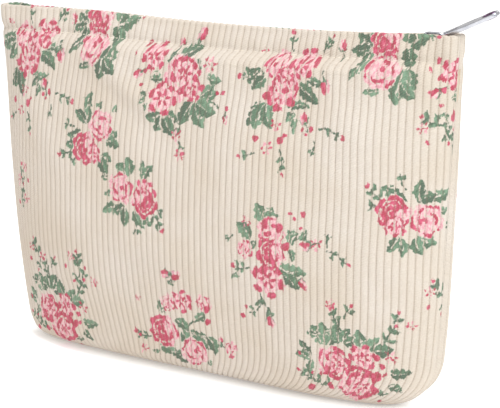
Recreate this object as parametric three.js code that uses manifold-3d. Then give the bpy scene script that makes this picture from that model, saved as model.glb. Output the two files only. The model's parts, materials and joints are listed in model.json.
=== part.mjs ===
// Soft zip pouch for make-up: padded corduroy body, boxed base, zip along the top.
// Millimetres, +Z up, +X towards the end where the closed slider stands, front faces -Y.
// The origin is the middle of the flat underside.
import * as THREE from 'three';
import { mergeVertices } from 'three/addons/utils/BufferGeometryUtils.js';
import Module from 'manifold-3d';

const wasm = await Module();
wasm.setup();

// ---- driving dimensions -------------------------------------------------------------------
const HEIGHT = 160;
const HALF_LENGTH = { base: 107, low: 112, belly: 118.5, rim: 122.2 };
const HALF_DEPTH = { base: 21, low: 23.5, belly: 27.5, shoulder: 22.5, band: 11, rim: 10 };
const BASE_ROUND_X = 14; // rounding of the base edge at the two ends
const BASE_ROUND_Y = 9; // rounding of the base edge along front and back
const OUTER_THICK = 2.2; // corduroy with its pile
const WADDING_THICK = 1.8;
const LINING_THICK = 0.5;
const LAYER_GAP = 0.5; // clearance between pieces that touch
const BAND_HEIGHT = 11; // from the rim down to its topstitching
const SEAM_GAP = 0.5; // between the front and back halves at each side seam

const ZIP_Z = 153.8; // mid-plane of the tapes and coils
const TAPE_THICK = 0.6;
const TAPE_HALF_LENGTH = 114;
const COIL_PITCH = 2.0; // one tooth of one side to the next
const COIL_START = -112;
const COIL_END = 109.5;
const SLIDER_X = 108; // middle of the slider when the zip is closed
const SLIDER_LENGTH = 12;
const SLIDER_WIDTH = 9.6;
const SLIDER_TOP = 156;
const SLIDER_BOTTOM = 151.6;
const BAIL_TOP = 160.4;
const PULLER_PIVOT = new THREE.Vector3(110, 0, 158.1);
const PULLER_LENGTH = 28.5;
const PULLER_TILT = 24; // degrees above the horizontal, at rest
const PULLER_ROLL = 14; // degrees of lean on its loose eye

// ---- materials ----------------------------------------------------------------------------
const corduroy = () => new THREE.MeshStandardMaterial({ color: 0xeee4d6, roughness: 0.95 });
const batting = () => new THREE.MeshStandardMaterial({ color: 0xf4f2ec, roughness: 1 });
const cotton = () => new THREE.MeshStandardMaterial({ color: 0xd9c7ae, roughness: 0.85 });
const tapeCloth = () => new THREE.MeshStandardMaterial({ color: 0xcdb79b, roughness: 0.8 });
const nylon = () => new THREE.MeshStandardMaterial({ color: 0xc9b190, roughness: 0.45 });
const thread = () => new THREE.MeshStandardMaterial({ color: 0xe9dccb, roughness: 0.8 });
const steel = () => new THREE.MeshStandardMaterial({ color: 0xd6d6da, roughness: 0.2, metalness: 1 });

// ---- body shape ---------------------------------------------------------------------------
const radians = THREE.MathUtils.degToRad;

// Smooth curve through [height fraction, value] keys, read at height fraction t.
function along(keys, t) {
  const last = keys.length - 1;
  let i = 0;
  while (i < last - 1 && t > keys[i + 1][0]) i += 1;
  const [t0, v0] = keys[i];
  const [t1, v1] = keys[i + 1];
  const slope = (a, b) => (b[1] - a[1]) / (b[0] - a[0]);
  const here = slope(keys[i], keys[i + 1]);
  const before = i > 0 ? slope(keys[i - 1], keys[i]) : here;
  const after = i < last - 1 ? slope(keys[i + 1], keys[i + 2]) : here;
  const m0 = (before + here) / 2;
  const m1 = (after + here) / 2;
  const s = (t - t0) / (t1 - t0);
  const h = t1 - t0;
  const rise = s * s * (3 - 2 * s);
  return v0 + (v1 - v0) * rise + h * (s * (1 - s) ** 2 * m0 - s * s * (1 - s) * m1);
}

const lengthKeys = [
  [0, HALF_LENGTH.base], [0.16, HALF_LENGTH.low], [0.58, HALF_LENGTH.belly], [1, HALF_LENGTH.rim],
];
const depthKeys = [
  [0, HALF_DEPTH.base], [0.14, HALF_DEPTH.low], [0.42, HALF_DEPTH.belly],
  [0.72, HALF_DEPTH.shoulder], [0.93, HALF_DEPTH.band], [1, HALF_DEPTH.rim],
];
const squarenessKeys = [[0, 4.6], [0.2, 4.4], [0.55, 3.5], [0.85, 5], [0.93, 9], [1, 11]];

const roundInset = (z, r) => (z < r ? r - Math.sqrt(r * r - (r - z) ** 2) : 0);

// Point of the body's section at height z, moved in by inset. turn runs from 0 at the right
// side seam over the back (PI / 2) to the left side seam (PI), and back over the front.
function bodyPoint(turn, z, inset) {
  const t = z / HEIGHT;
  const a = along(lengthKeys, t) - roundInset(z, BASE_ROUND_X) - inset;
  const b = along(depthKeys, t) - roundInset(z, BASE_ROUND_Y) - inset;
  const power = along(squarenessKeys, t);
  const c = Math.cos(turn);
  const s = Math.sin(turn);
  const x = a * Math.sign(c) * Math.abs(c) ** (2 / power);
  const y = b * Math.sign(s) * Math.abs(s);
  return new THREE.Vector3(x, y, z);
}

// ---- mesh helpers -------------------------------------------------------------------------
function geometryFrom(points, triangles) {
  const geometry = new THREE.BufferGeometry();
  const flat = points.flatMap((p) => [p.x, p.y, p.z]);
  geometry.setAttribute('position', new THREE.Float32BufferAttribute(flat, 3));
  geometry.setIndex(triangles);
  return geometry;
}

// Closed solid between two sheets of points, rows x columns, that face each other. The outer
// sheet's columns run so that its rows climb to the left of the direction of travel.
function slabBetween(outer, inner) {
  const rows = outer.length;
  const cols = outer[0].length;
  const points = [...outer.flat(), ...inner.flat()];
  const far = rows * cols;
  const at = (r, c, side) => side * far + r * cols + c;
  const triangles = [];
  const quad = (a, b, c, d) => triangles.push(a, b, c, a, c, d);
  for (let r = 0; r < rows - 1; r += 1) {
    for (let c = 0; c < cols - 1; c += 1) {
      quad(at(r, c, 0), at(r, c + 1, 0), at(r + 1, c + 1, 0), at(r + 1, c, 0));
      quad(at(r, c, 1), at(r + 1, c, 1), at(r + 1, c + 1, 1), at(r, c + 1, 1));
    }
  }
  for (let c = 0; c < cols - 1; c += 1) {
    quad(at(0, c, 1), at(0, c + 1, 1), at(0, c + 1, 0), at(0, c, 0));
    quad(at(rows - 1, c, 0), at(rows - 1, c + 1, 0), at(rows - 1, c + 1, 1), at(rows - 1, c, 1));
  }
  for (let r = 0; r < rows - 1; r += 1) {
    quad(at(r, 0, 0), at(r + 1, 0, 0), at(r + 1, 0, 1), at(r, 0, 1));
    quad(at(r, cols - 1, 1), at(r + 1, cols - 1, 1), at(r + 1, cols - 1, 0), at(r, cols - 1, 0));
  }
  return geometryFrom(points, triangles);
}

// Solid through stacked rings of equal length, with a flat cap at each end.
function stackedRings(rings) {
  const count = rings[0].length;
  const points = rings.flat();
  const triangles = [];
  for (let k = 0; k < rings.length - 1; k += 1) {
    for (let i = 0; i < count; i += 1) {
      const a = k * count + i;
      const b = k * count + ((i + 1) % count);
      triangles.push(a, b, b + count, a, b + count, a + count);
    }
  }
  const top = (rings.length - 1) * count;
  for (let i = 1; i < count - 1; i += 1) {
    triangles.push(0, i + 1, i);
    triangles.push(top, top + i, top + i + 1);
  }
  return geometryFrom(points, triangles);
}

function extrudeAlongX(shape, from, to) {
  const geometry = new THREE.ExtrudeGeometry(shape, { depth: to - from, bevelEnabled: false });
  // Shape x, y and the depth become world Y, Z and X.
  const axes = new THREE.Matrix4().set(0, 0, 1, from, 1, 0, 0, 0, 0, 1, 0, 0, 0, 0, 0, 1);
  return geometry.applyMatrix4(axes);
}

function outline(points) {
  return new THREE.Shape(points.map(([x, y]) => new THREE.Vector2(x, y)));
}

function box(size, centre) {
  return new THREE.BoxGeometry(...size).translate(...centre);
}

function toSolid(geometry) {
  const bare = geometry.clone();
  bare.deleteAttribute('normal');
  bare.deleteAttribute('uv');
  const merged = mergeVertices(bare, 1e-4);
  const vertProperties = new Float32Array(merged.attributes.position.array);
  const triVerts = new Uint32Array(merged.index.array);
  return new wasm.Manifold(new wasm.Mesh({ numProp: 3, vertProperties, triVerts }));
}

function joined(geometries) {
  const solid = geometries.map(toSolid).reduce((whole, next) => whole.add(next));
  const mesh = solid.getMesh();
  const geometry = new THREE.BufferGeometry();
  geometry.setAttribute('position', new THREE.Float32BufferAttribute(mesh.vertProperties, 3));
  geometry.setIndex([...mesh.triVerts]);
  return geometry;
}

const bag = new THREE.Group();

function addPiece(name, geometry, material, parent = bag) {
  const mesh = new THREE.Mesh(geometry, material);
  mesh.name = name;
  parent.add(mesh);
}

// ---- walls --------------------------------------------------------------------------------
const SIDES = [{ name: 'front', sign: -1 }, { name: 'back', sign: 1 }];
const outerInset = 0;
const waddingInset = OUTER_THICK + LAYER_GAP;
const liningInset = waddingInset + WADDING_THICK + LAYER_GAP;
const bodyThick = liningInset + LINING_THICK;
const STITCH_Z = HEIGHT - BAND_HEIGHT;

// Spacing for a run of rows that bends most near its two ends.
const closerAtEnds = (t) => t - 0.11 * Math.sin(2 * Math.PI * t);

// One half of the body, from side seam to side seam, between two insets and two heights.
function wallHalf(sign, inset, thick, zLow, zHigh, cols, rows) {
  const sheet = (depth) => {
    const grid = [];
    for (let r = 0; r <= rows; r += 1) {
      const z = THREE.MathUtils.lerp(zLow, zHigh, closerAtEnds(r / rows));
      const row = [];
      for (let c = 0; c <= cols; c += 1) {
        // The back is walked right to left and the front left to right, so both face out.
        const turn = sign > 0 ? (Math.PI * c) / cols : Math.PI + (Math.PI * c) / cols;
        const p = bodyPoint(turn, z, depth);
        p.y = sign * Math.max(Math.abs(p.y), SEAM_GAP / 2);
        row.push(p);
      }
      grid.push(row);
    }
    return grid;
  };
  return slabBetween(sheet(inset), sheet(inset + thick));
}

const WALL_BOTTOM = 3;
const COLS = 20;
const ROWS = 12;

function addWalls({ name, sign }) {
  const outer = wallHalf(sign, outerInset, OUTER_THICK, WALL_BOTTOM, HEIGHT, COLS, ROWS);
  addPiece(`${name}_outer_panel`, outer, corduroy());
  const innerTop = STITCH_Z - 2;
  const wadding = wallHalf(sign, waddingInset, WADDING_THICK, WALL_BOTTOM + 2.8, innerTop, COLS, ROWS - 2);
  addPiece(`${name}_wadding`, wadding, batting());
  const lining = wallHalf(sign, liningInset, LINING_THICK, WALL_BOTTOM + 5.2, innerTop, COLS, ROWS - 2);
  addPiece(`${name}_lining`, lining, cotton());
}
SIDES.forEach(addWalls);

// Line of stitching on the face, at the foot of the rim band.
function addTopstitch({ name, sign }) {
  const route = [];
  const steps = 26;
  for (let i = 0; i <= steps; i += 1) {
    const turn = 0.06 * Math.PI + (0.88 * Math.PI * i) / steps;
    const p = bodyPoint(sign * turn, STITCH_Z, -1.1);
    route.push(p);
  }
  const path = new THREE.CatmullRomCurve3(route);
  const section = new THREE.Shape();
  section.absarc(0, 0, 0.35, 0, 2 * Math.PI);
  const options = { steps: 40, curveSegments: 3, extrudePath: path, bevelEnabled: false };
  addPiece(`${name}_rim_topstitch`, new THREE.ExtrudeGeometry(section, options), thread());
}
SIDES.forEach(addTopstitch);

// ---- base ---------------------------------------------------------------------------------
function bodyRing(z, inset, zShape = z) {
  const ring = [];
  const count = 40;
  for (let i = 0; i < count; i += 1) {
    const p = bodyPoint((2 * Math.PI * i) / count, zShape, inset);
    p.z = z;
    ring.push(p);
  }
  return ring;
}

function addBase() {
  const outerTop = WALL_BOTTOM - LAYER_GAP;
  const skin = stackedRings([bodyRing(0, 0), bodyRing(0.8, 0), bodyRing(outerTop, 0)]);
  addPiece('base_outer_panel', skin, corduroy());
  const low = WALL_BOTTOM;
  // The walls' lower edges rise inwards as they open, so the base layers stand well clear of them.
  const inset = OUTER_THICK + 3;
  const wadding = stackedRings([bodyRing(low, inset), bodyRing(low + WADDING_THICK, inset)]);
  addPiece('base_wadding', wadding, batting());
  const liningLow = low + WADDING_THICK + LAYER_GAP;
  const liningRing = (z) => bodyRing(z, bodyThick + 2, liningLow);
  const lining = stackedRings([liningRing(liningLow), liningRing(liningLow + LINING_THICK)]);
  addPiece('base_lining', lining, cotton());
}
addBase();

// ---- bound seams inside -------------------------------------------------------------------
const BINDING_THICK = 2.4;
const BINDING_WIDTH = 7;

function addSideBinding(name, side) {
  const grid = (y) => {
    const rows = [];
    for (let i = 0; i <= 10; i += 1) {
      const z = THREE.MathUtils.lerp(34, STITCH_Z - 3, i / 10);
      const edge = side * (along(lengthKeys, z / HEIGHT) - bodyThick - 1.2);
      const inner = edge - side * BINDING_WIDTH;
      const [left, right] = side > 0 ? [inner, edge] : [edge, inner];
      rows.push([new THREE.Vector3(left, y, z), new THREE.Vector3(right, y, z)]);
    }
    return rows;
  };
  const geometry = slabBetween(grid(-BINDING_THICK / 2), grid(BINDING_THICK / 2));
  addPiece(name, geometry, cotton());
}
addSideBinding('left_side_binding', -1);
addSideBinding('right_side_binding', 1);

function addCornerBinding(name, side) {
  const low = WALL_BOTTOM + WADDING_THICK + LINING_THICK + 2 * LAYER_GAP;
  const size = [BINDING_THICK, 22, BINDING_WIDTH];
  const centre = [side * 82, 0, low + BINDING_WIDTH / 2];
  addPiece(name, box(size, centre), cotton());
}
addCornerBinding('left_corner_binding', -1);
addCornerBinding('right_corner_binding', 1);

// ---- zip ----------------------------------------------------------------------------------
const TAPE_LEG_HALF = 92; // the leg stops where the rim starts to round
const TAPE_TURN = 6.9; // where the tape turns down behind the rim band
const TOOTH_TIP = 1.1; // how far each tooth crosses the centre line
const TOOTH_WIDTH = 0.7;
const COIL_SPINE = 2.3; // inner side of the sewn part of the coil
const COIL_BACK = 3.3; // outer side of the sewn part of the coil

// Flat strip beside the coil, with a leg turned down and sewn behind the rim band.
function addTape({ name, sign }) {
  const edge = sign * (COIL_BACK + LAYER_GAP);
  const wide = sign * TAPE_TURN;
  const plan = outline([
    [-TAPE_HALF_LENGTH, edge], [TAPE_HALF_LENGTH, edge], [TAPE_HALF_LENGTH, edge + sign * 0.8],
    [TAPE_LEG_HALF, wide], [-TAPE_LEG_HALF, wide], [-TAPE_HALF_LENGTH, edge + sign * 0.8],
  ]);
  const strip = new THREE.ExtrudeGeometry(plan, { depth: TAPE_THICK, bevelEnabled: false });
  strip.translate(0, 0, ZIP_Z - TAPE_THICK / 2);
  const foot = STITCH_Z - 0.5;
  const legSize = [2 * TAPE_LEG_HALF, TAPE_THICK, ZIP_Z - foot];
  const leg = box(legSize, [0, wide - sign * TAPE_THICK / 2, (ZIP_Z + foot) / 2]);
  addPiece(`${name}_zip_tape`, joined([strip, leg]), tapeCloth());
}
SIDES.forEach(addTape);

// Comb outline of one coil seen from above; the two sides are half a pitch apart.
function addCoil({ name, sign }) {
  const offset = sign > 0 ? COIL_PITCH / 2 : 0;
  const points = [[COIL_START, sign * COIL_BACK], [COIL_START, sign * COIL_SPINE]];
  for (let x = COIL_START + 0.4 + offset; x + TOOTH_WIDTH < COIL_END; x += COIL_PITCH) {
    points.push([x, sign * COIL_SPINE], [x, -sign * TOOTH_TIP]);
    points.push([x + TOOTH_WIDTH, -sign * TOOTH_TIP], [x + TOOTH_WIDTH, sign * COIL_SPINE]);
  }
  points.push([COIL_END, sign * COIL_SPINE], [COIL_END, sign * COIL_BACK]);
  const options = { depth: 1.4, bevelEnabled: false };
  const geometry = new THREE.ExtrudeGeometry(outline(points), options);
  addPiece(`${name}_zip_coil`, geometry.translate(0, 0, ZIP_Z - 0.7), nylon());
}
SIDES.forEach(addCoil);

function addStops() {
  SIDES.forEach(({ name, sign }) => {
    const geometry = box([2, 1.6, 3], [SLIDER_X + 8.2, sign * 2.4, ZIP_Z]);
    addPiece(`${name}_top_stop`, geometry, steel());
  });
  const bottom = box([2.4, 6.2, 3], [COIL_START - 1.6, 0, ZIP_Z]);
  addPiece('zip_bottom_stop', bottom, steel());
}
addStops();

// ---- slider -------------------------------------------------------------------------------
function addSliderBody() {
  const plate = 0.9;
  const half = SLIDER_WIDTH / 2;
  const mid = (SLIDER_TOP + SLIDER_BOTTOM) / 2;
  const tall = SLIDER_TOP - SLIDER_BOTTOM;
  const lip = (tall - 2.6) / 2 - 0.05;
  const parts = [
    box([SLIDER_LENGTH, SLIDER_WIDTH, plate], [SLIDER_X, 0, SLIDER_TOP - plate / 2]),
    box([SLIDER_LENGTH, SLIDER_WIDTH, plate], [SLIDER_X, 0, SLIDER_BOTTOM + plate / 2]),
    box([3, 2.2, tall - plate], [SLIDER_X + SLIDER_LENGTH / 2 - 1.6, 0, mid]),
  ];
  [-1, 1].forEach((side) => {
    const y = side * (half - 0.4);
    parts.push(box([SLIDER_LENGTH, 0.8, lip + plate], [SLIDER_X, y, SLIDER_TOP - (lip + plate) / 2]));
    parts.push(box([SLIDER_LENGTH, 0.8, lip + plate], [SLIDER_X, y, SLIDER_BOTTOM + (lip + plate) / 2]));
  });
  addPiece('slider_body', joined(parts), steel());
}
addSliderBody();

// Arch over the slider's top plate, which the puller's eye hangs on.
function addBail() {
  const wide = 1.8;
  const bar = 1;
  const reach = 5.2;
  const foot = SLIDER_TOP + 0.3;
  const arch = outline([
    [-reach, foot], [-reach, BAIL_TOP - 1.2], [-reach + 1.2, BAIL_TOP], [reach - 1.2, BAIL_TOP],
    [reach, BAIL_TOP - 1.2], [reach, foot], [reach - bar, foot], [reach - bar, BAIL_TOP - bar],
    [-reach + bar, BAIL_TOP - bar], [-reach + bar, foot],
  ]);
  const geometry = new THREE.ExtrudeGeometry(arch, { depth: wide, bevelEnabled: false });
  geometry.rotateX(Math.PI / 2).translate(SLIDER_X, wide / 2, 0);
  addPiece('slider_bail', geometry, steel());
}
addBail();

// Flat bar with a long eye round the bail at one end and a small oval eyelet at the other.
function addPuller() {
  const thick = 1.6;
  const neck = 3;
  const widest = 3.7;
  const tip = 2.9;
  const back = 0.8;
  const shape = outline([[-back, -neck], [9, -neck], [13, -widest], [PULLER_LENGTH - tip, -tip]]);
  shape.absarc(PULLER_LENGTH - tip, 0, tip, -Math.PI / 2, Math.PI / 2);
  shape.lineTo(13, widest);
  shape.lineTo(9, neck);
  shape.lineTo(-back, neck);
  const eye = outline([[back, -1.6], [9.4, -1.6], [9.4, 1.6], [back, 1.6]]);
  const eyelet = new THREE.Path();
  eyelet.absellipse(PULLER_LENGTH - tip - 1.2, 0, 2.6, 1.5, 0, 2 * Math.PI);
  shape.holes.push(eye, eyelet);
  const options = { depth: thick, bevelEnabled: false, curveSegments: 14 };
  const geometry = new THREE.ExtrudeGeometry(shape, options).translate(0, 0, -thick / 2);
  const holder = new THREE.Group();
  holder.position.copy(PULLER_PIVOT);
  holder.rotation.set(radians(PULLER_ROLL), -radians(PULLER_TILT), 0, 'YXZ');
  bag.add(holder);
  addPiece('zip_puller', geometry, steel(), holder);
}
addPuller();

export default bag;
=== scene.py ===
"""Looks of the corduroy make-up pouch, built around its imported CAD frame.

Sizes are millimetres in the row frame (+Z up, front facing -Y) and turn into metres only where a
mesh is made. The body's section is the one in part.mjs, with its height, rim length and belly
depth read from the frame.
"""

import json
import math

import bmesh
import bpy
import numpy as np
from mathutils import Matrix, Vector

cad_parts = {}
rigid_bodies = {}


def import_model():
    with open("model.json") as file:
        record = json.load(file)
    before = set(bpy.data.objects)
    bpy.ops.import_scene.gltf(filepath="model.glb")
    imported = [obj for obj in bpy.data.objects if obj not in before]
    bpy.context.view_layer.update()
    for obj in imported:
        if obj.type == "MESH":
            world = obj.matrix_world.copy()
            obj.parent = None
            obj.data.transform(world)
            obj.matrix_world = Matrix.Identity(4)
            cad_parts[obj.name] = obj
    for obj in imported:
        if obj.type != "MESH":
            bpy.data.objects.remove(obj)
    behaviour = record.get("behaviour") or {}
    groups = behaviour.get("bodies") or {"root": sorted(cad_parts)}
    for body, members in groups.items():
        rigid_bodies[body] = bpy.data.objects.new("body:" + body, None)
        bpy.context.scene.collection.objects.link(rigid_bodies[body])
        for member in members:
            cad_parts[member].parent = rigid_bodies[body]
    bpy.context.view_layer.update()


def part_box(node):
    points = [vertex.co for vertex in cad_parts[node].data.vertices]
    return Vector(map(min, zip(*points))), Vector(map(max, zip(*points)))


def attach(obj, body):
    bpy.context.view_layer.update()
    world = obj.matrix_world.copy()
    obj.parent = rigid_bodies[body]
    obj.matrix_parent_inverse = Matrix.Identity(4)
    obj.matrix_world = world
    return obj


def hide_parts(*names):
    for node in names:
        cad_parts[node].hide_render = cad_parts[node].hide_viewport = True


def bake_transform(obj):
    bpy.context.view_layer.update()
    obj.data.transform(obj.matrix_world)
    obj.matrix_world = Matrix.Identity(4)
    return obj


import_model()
MM = 0.001
FRONT, BACK = -1, 1
SIDES = {"front": FRONT, "back": BACK}


def box_mm(node):
    """Lowest and highest corner of a CAD node, in millimetres."""
    low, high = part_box(node)
    return np.array(low) / MM, np.array(high) / MM


# ---- body shape ----
# The section's length, depth and squareness by height share, as in part.mjs.
PANEL_LOW, PANEL_HIGH = box_mm("front_outer_panel")
HEIGHT = PANEL_HIGH[2]
RIM_HALF = PANEL_HIGH[0]
BELLY_DEPTH = -PANEL_LOW[1]
LENGTH_KEYS = [(0, 107), (0.16, 112), (0.58, 118.5), (1, RIM_HALF)]
DEPTH_KEYS = [(0, 21), (0.14, 23.5), (0.42, BELLY_DEPTH), (0.72, 22.5), (0.93, 11), (1, 10)]
SQUARENESS_KEYS = [(0, 4.6), (0.2, 4.4), (0.55, 3.5), (0.85, 5), (0.93, 9), (1, 11)]
HALF_GIRTH = 125
FABRIC_THICK = 2.2
FOLD_RADIUS = FABRIC_THICK / 2
STITCH_Z = HEIGHT - 11
TURNS = np.linspace(math.pi, 0, 1201)
# Where the real pouch differs from the even CAD: the rounding under each end and along the
# bottom, how far the ends stand out by height share, and how the rim sags and leans inward.
BASE_ROUND_RIGHT = 22
BASE_ROUND_LEFT = 5
BASE_ROUND_Y = 14
RIGHT_END_KEYS = [(0, 4.6), (0.16, 3.0), (0.58, -0.2), (1, -0.7)]
LEFT_END_KEYS = [(0, -2.4), (0.16, -3.2), (0.58, -2.6), (1, -0.8)]
RIM_SAG = 2.1
SAG_CENTRE = 22
SAG_HALF = 82
BACK_SAG = 0.9
SLIDER_LEAN = 2.6
RIM_LEAN = 5.4
LEAN_HALF = 98
SEAM_HALF_GAP = 0.12


def along(keys, t):
    """Smooth curve through (place, value) keys, read at t."""
    keys = np.array(keys, float)
    t = np.asarray(t, float)
    slopes = np.diff(keys[:, 1]) / np.diff(keys[:, 0])
    i = np.clip(np.searchsorted(keys[:, 0], t, side="right") - 1, 0, len(slopes) - 1)
    before = slopes[np.maximum(i - 1, 0)]
    after = slopes[np.minimum(i + 1, len(slopes) - 1)]
    m0 = (before + slopes[i]) / 2
    m1 = (after + slopes[i]) / 2
    h = keys[i + 1, 0] - keys[i, 0]
    s = (t - keys[i, 0]) / h
    eased = keys[i, 1] + (keys[i + 1, 1] - keys[i, 1]) * s * s * (3 - 2 * s)
    return eased + h * (s * (1 - s) ** 2 * m0 - s * s * (1 - s) * m1)


def smooth(low, high, value):
    t = np.clip((np.asarray(value, float) - low) / (high - low), 0, 1)
    return t * t * (3 - 2 * t)


def hump(value, centre, width):
    return np.exp(-(((np.asarray(value, float) - centre) / width) ** 2))


def round_inset(z, radius):
    """How far a rounding of this radius stands back at height z."""
    return radius - math.sqrt(max(radius**2 - (radius - z) ** 2, 0)) if z < radius else 0.0


def from_ends(shares):
    """How far each share lies from the nearer side seam: 0 at the seams and 1 in the middle."""
    return np.minimum(1 - shares, 1 + shares)


def section(side, z, inset, shares):
    """x, y and length of one half's section at height z, at shares -1 to 1 from seam to seam."""
    t = min(max(z, 0), HEIGHT) / HEIGHT
    even = along(LENGTH_KEYS, t) - inset
    right = even + along(RIGHT_END_KEYS, t) - round_inset(z, BASE_ROUND_RIGHT)
    left = even + along(LEFT_END_KEYS, t) - round_inset(z, BASE_ROUND_LEFT)
    b = along(DEPTH_KEYS, t) - round_inset(z, BASE_ROUND_Y) - inset
    c = np.cos(TURNS)
    x = np.where(c > 0, right, left) * np.sign(c) * np.abs(c) ** (2 / along(SQUARENESS_KEYS, t))
    y = b * np.sin(TURNS)
    run = np.concatenate([[0], np.cumsum(np.hypot(np.diff(x), np.diff(y)))])
    place = (np.asarray(shares) + 1) / 2 * run[-1]
    across = np.maximum(np.interp(place, run, y), SEAM_HALF_GAP)
    return np.interp(place, run, x), side * across, run[-1]


def settle(points):
    """Moves body points to how the real pouch stands.

    The rim sags in the middle, the back's a little more, and its two edges lean together over
    the zip, most of all between the ends."""
    x, y, z = points[..., 0], points[..., 1], points[..., 2]
    t = np.clip(z / HEIGHT, 0, 1)
    dip = np.clip(1 - ((x - SAG_CENTRE) / SAG_HALF) ** 2, 0, 1)
    inside = 1 - smooth(106, 119, np.abs(x))
    sag = (RIM_SAG * dip + BACK_SAG * smooth(2.2, 5, y) * inside) * t**4
    middle = smooth(0, 0.35, 1 - (x / LEAN_HALF) ** 2)
    closing = (SLIDER_LEAN * inside + (RIM_LEAN - SLIDER_LEAN) * middle) * smooth(STITCH_Z - 9, HEIGHT, z)
    lean = closing * smooth(1.2, 4.5, np.abs(y))
    return np.stack([x, y - np.sign(y) * lean, z - sag], -1)


def body_grid(side, shares, levels, insets):
    """Unsettled points (rows x columns x 3), cloth coordinate s and outward directions.

    shares is one value per column, or one row of them per level where columns wander."""
    points, cloth = [], []
    wide = np.broadcast_to(shares, (len(levels), np.shape(shares)[-1]))
    for z, inset, share in zip(levels, insets, wide):
        x, y, length = section(side, z, inset, share)
        points.append(np.stack([x, y, np.full(len(x), z)], -1))
        cloth.append(share * length / 2)
    points, cloth = np.array(points), np.array(cloth)
    tangent = np.gradient(points, axis=1)
    out = np.stack([-tangent[..., 1], tangent[..., 0], np.zeros(cloth.shape)], -1) * side
    out /= np.maximum(np.linalg.norm(out, axis=-1, keepdims=True), 1e-9)
    return points, cloth, out


def grid_normals(points, side):
    """Unit normals of a grid whose rows climb and whose columns run from left to right."""
    rows = np.gradient(points, axis=0)
    cols = np.gradient(points, axis=1)
    n = np.cross(cols, rows) * -side
    return n / np.maximum(np.linalg.norm(n, axis=-1, keepdims=True), 1e-9)


# ---- meshes ----
def object_from(name, mesh):
    made = bpy.data.objects.new(name, mesh)
    bpy.context.scene.collection.objects.link(made)
    return made


def smooth_faces(mesh):
    mesh.polygons.foreach_set("use_smooth", [True] * len(mesh.polygons))


def grid_faces(rows, cols, wrap_rows, wrap_cols, flip):
    index = np.arange(rows * cols).reshape(rows, cols)
    if wrap_rows:
        index = np.vstack([index, index[:1]])
    if wrap_cols:
        index = np.hstack([index, index[:, :1]])
    corners = [index[:-1, :-1], index[:-1, 1:], index[1:, 1:], index[1:, :-1]]
    if flip:
        corners.reverse()
    return np.stack(corners, -1).reshape(-1, 4)


def grid_object(name, grid, wrap_rows=False, wrap_cols=False, flip=False, caps=False):
    """Mesh object from points in mm laid out rows x columns. caps close the first and last row."""
    rows, cols = grid.shape[:2]
    faces = grid_faces(rows, cols, wrap_rows, wrap_cols, flip).tolist()
    if caps:
        first = list(range(cols))
        last = list(range((rows - 1) * cols, rows * cols))
        faces += [first if flip else first[::-1], last[::-1] if flip else last]
    mesh = bpy.data.meshes.new(name)
    mesh.from_pydata((grid.reshape(-1, 3) * MM).tolist(), [], faces)
    smooth_faces(mesh)
    return object_from(name, mesh)


def open_mesh(obj):
    """The object's mesh, ready for editing."""
    work = bmesh.new()
    work.from_mesh(obj.data)
    work.verts.ensure_lookup_table()
    return work


def close_mesh(work, obj):
    """Puts an edited mesh back on its object, with smooth faces that point outward."""
    bmesh.ops.recalc_face_normals(work, faces=work.faces)
    work.to_mesh(obj.data)
    work.free()
    smooth_faces(obj.data)


def weld(obj, distance=2e-6):
    """Joins vertices that fell on the same place, with the point attributes kept."""
    work = open_mesh(obj)
    bmesh.ops.remove_doubles(work, verts=work.verts, dist=distance)
    bmesh.ops.dissolve_degenerate(work, edges=work.edges, dist=1e-7)
    close_mesh(work, obj)
    return obj


def cap_columns(obj, rows, cols):
    """Closes the first and last column of a grid whose rows wrap round, each with one flat fill."""
    work = open_mesh(obj)
    caps = [work.faces.new([work.verts[r * cols + col] for r in range(rows)]) for col in (0, cols - 1)]
    bmesh.ops.triangulate(work, faces=caps, ngon_method="EAR_CLIP")
    close_mesh(work, obj)


def close_ends(obj, rows, cols):
    """Closes the two ends of a flat sleeve, whose rows pair up top to underside."""
    work = open_mesh(obj)
    for col in (0, cols - 1):
        for k in range(rows // 2 - 1):
            far = rows - 1 - k
            corners = [work.verts[r * cols + col] for r in (k, k + 1, far - 1, far)]
            if k + 1 < far - 1:
                work.faces.new(corners)
    close_mesh(work, obj)


def put_attribute(obj, name, values):
    values = np.asarray(values, np.float32)
    vector = values.ndim > 1 and values.shape[-1] == 3
    made = obj.data.attributes.new(name, "FLOAT_VECTOR" if vector else "FLOAT", "POINT")
    made.data.foreach_set("vector" if vector else "value", values.reshape(-1))


def put_cloth(obj, s, z):
    """Stores where each vertex lies on the flat cloth, in mm, for the materials to read."""
    s, z = np.broadcast_arrays(s, z)
    put_attribute(obj, "cloth", np.stack([s, z, 0 * s], -1).reshape(-1, 3))


def tube(path, ring, closed=False):
    """Points (rows x columns x 3) of a section swept along path.

    ring(k) gives the section's offsets (n x 2) along the sweep's own side and up directions."""
    path = np.asarray(path, float)
    ahead = np.roll(path, -1, 0) - np.roll(path, 1, 0) if closed else np.gradient(path, axis=0)
    ahead /= np.linalg.norm(ahead, axis=1, keepdims=True)
    up_hint = np.array([0, 0, 1.0])
    rows = []
    for k, (p, d) in enumerate(zip(path, ahead)):
        aside = np.cross(d, up_hint)
        size = np.linalg.norm(aside)
        aside = aside / size if size > 1e-3 else np.array([0, 1.0, 0])
        up = np.cross(aside, d)
        offsets = np.asarray(ring(k))
        rows.append(p + offsets[:, :1] * aside + offsets[:, 1:] * up)
    return np.array(rows)


def round_ring(radius_side, radius_up, count=8):
    angles = np.linspace(0, 2 * math.pi, count, endpoint=False)
    return np.stack([radius_side * np.cos(angles), radius_up * np.sin(angles)], -1)


def join_objects(name, objects):
    """One object from several, in order, with their attributes."""
    for other in bpy.context.view_layer.objects:
        other.select_set(False)
    for each in objects:
        each.select_set(True)
    bpy.context.view_layer.objects.active = objects[0]
    if len(objects) > 1:
        bpy.ops.object.join()
    objects[0].name = name
    return objects[0]


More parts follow.
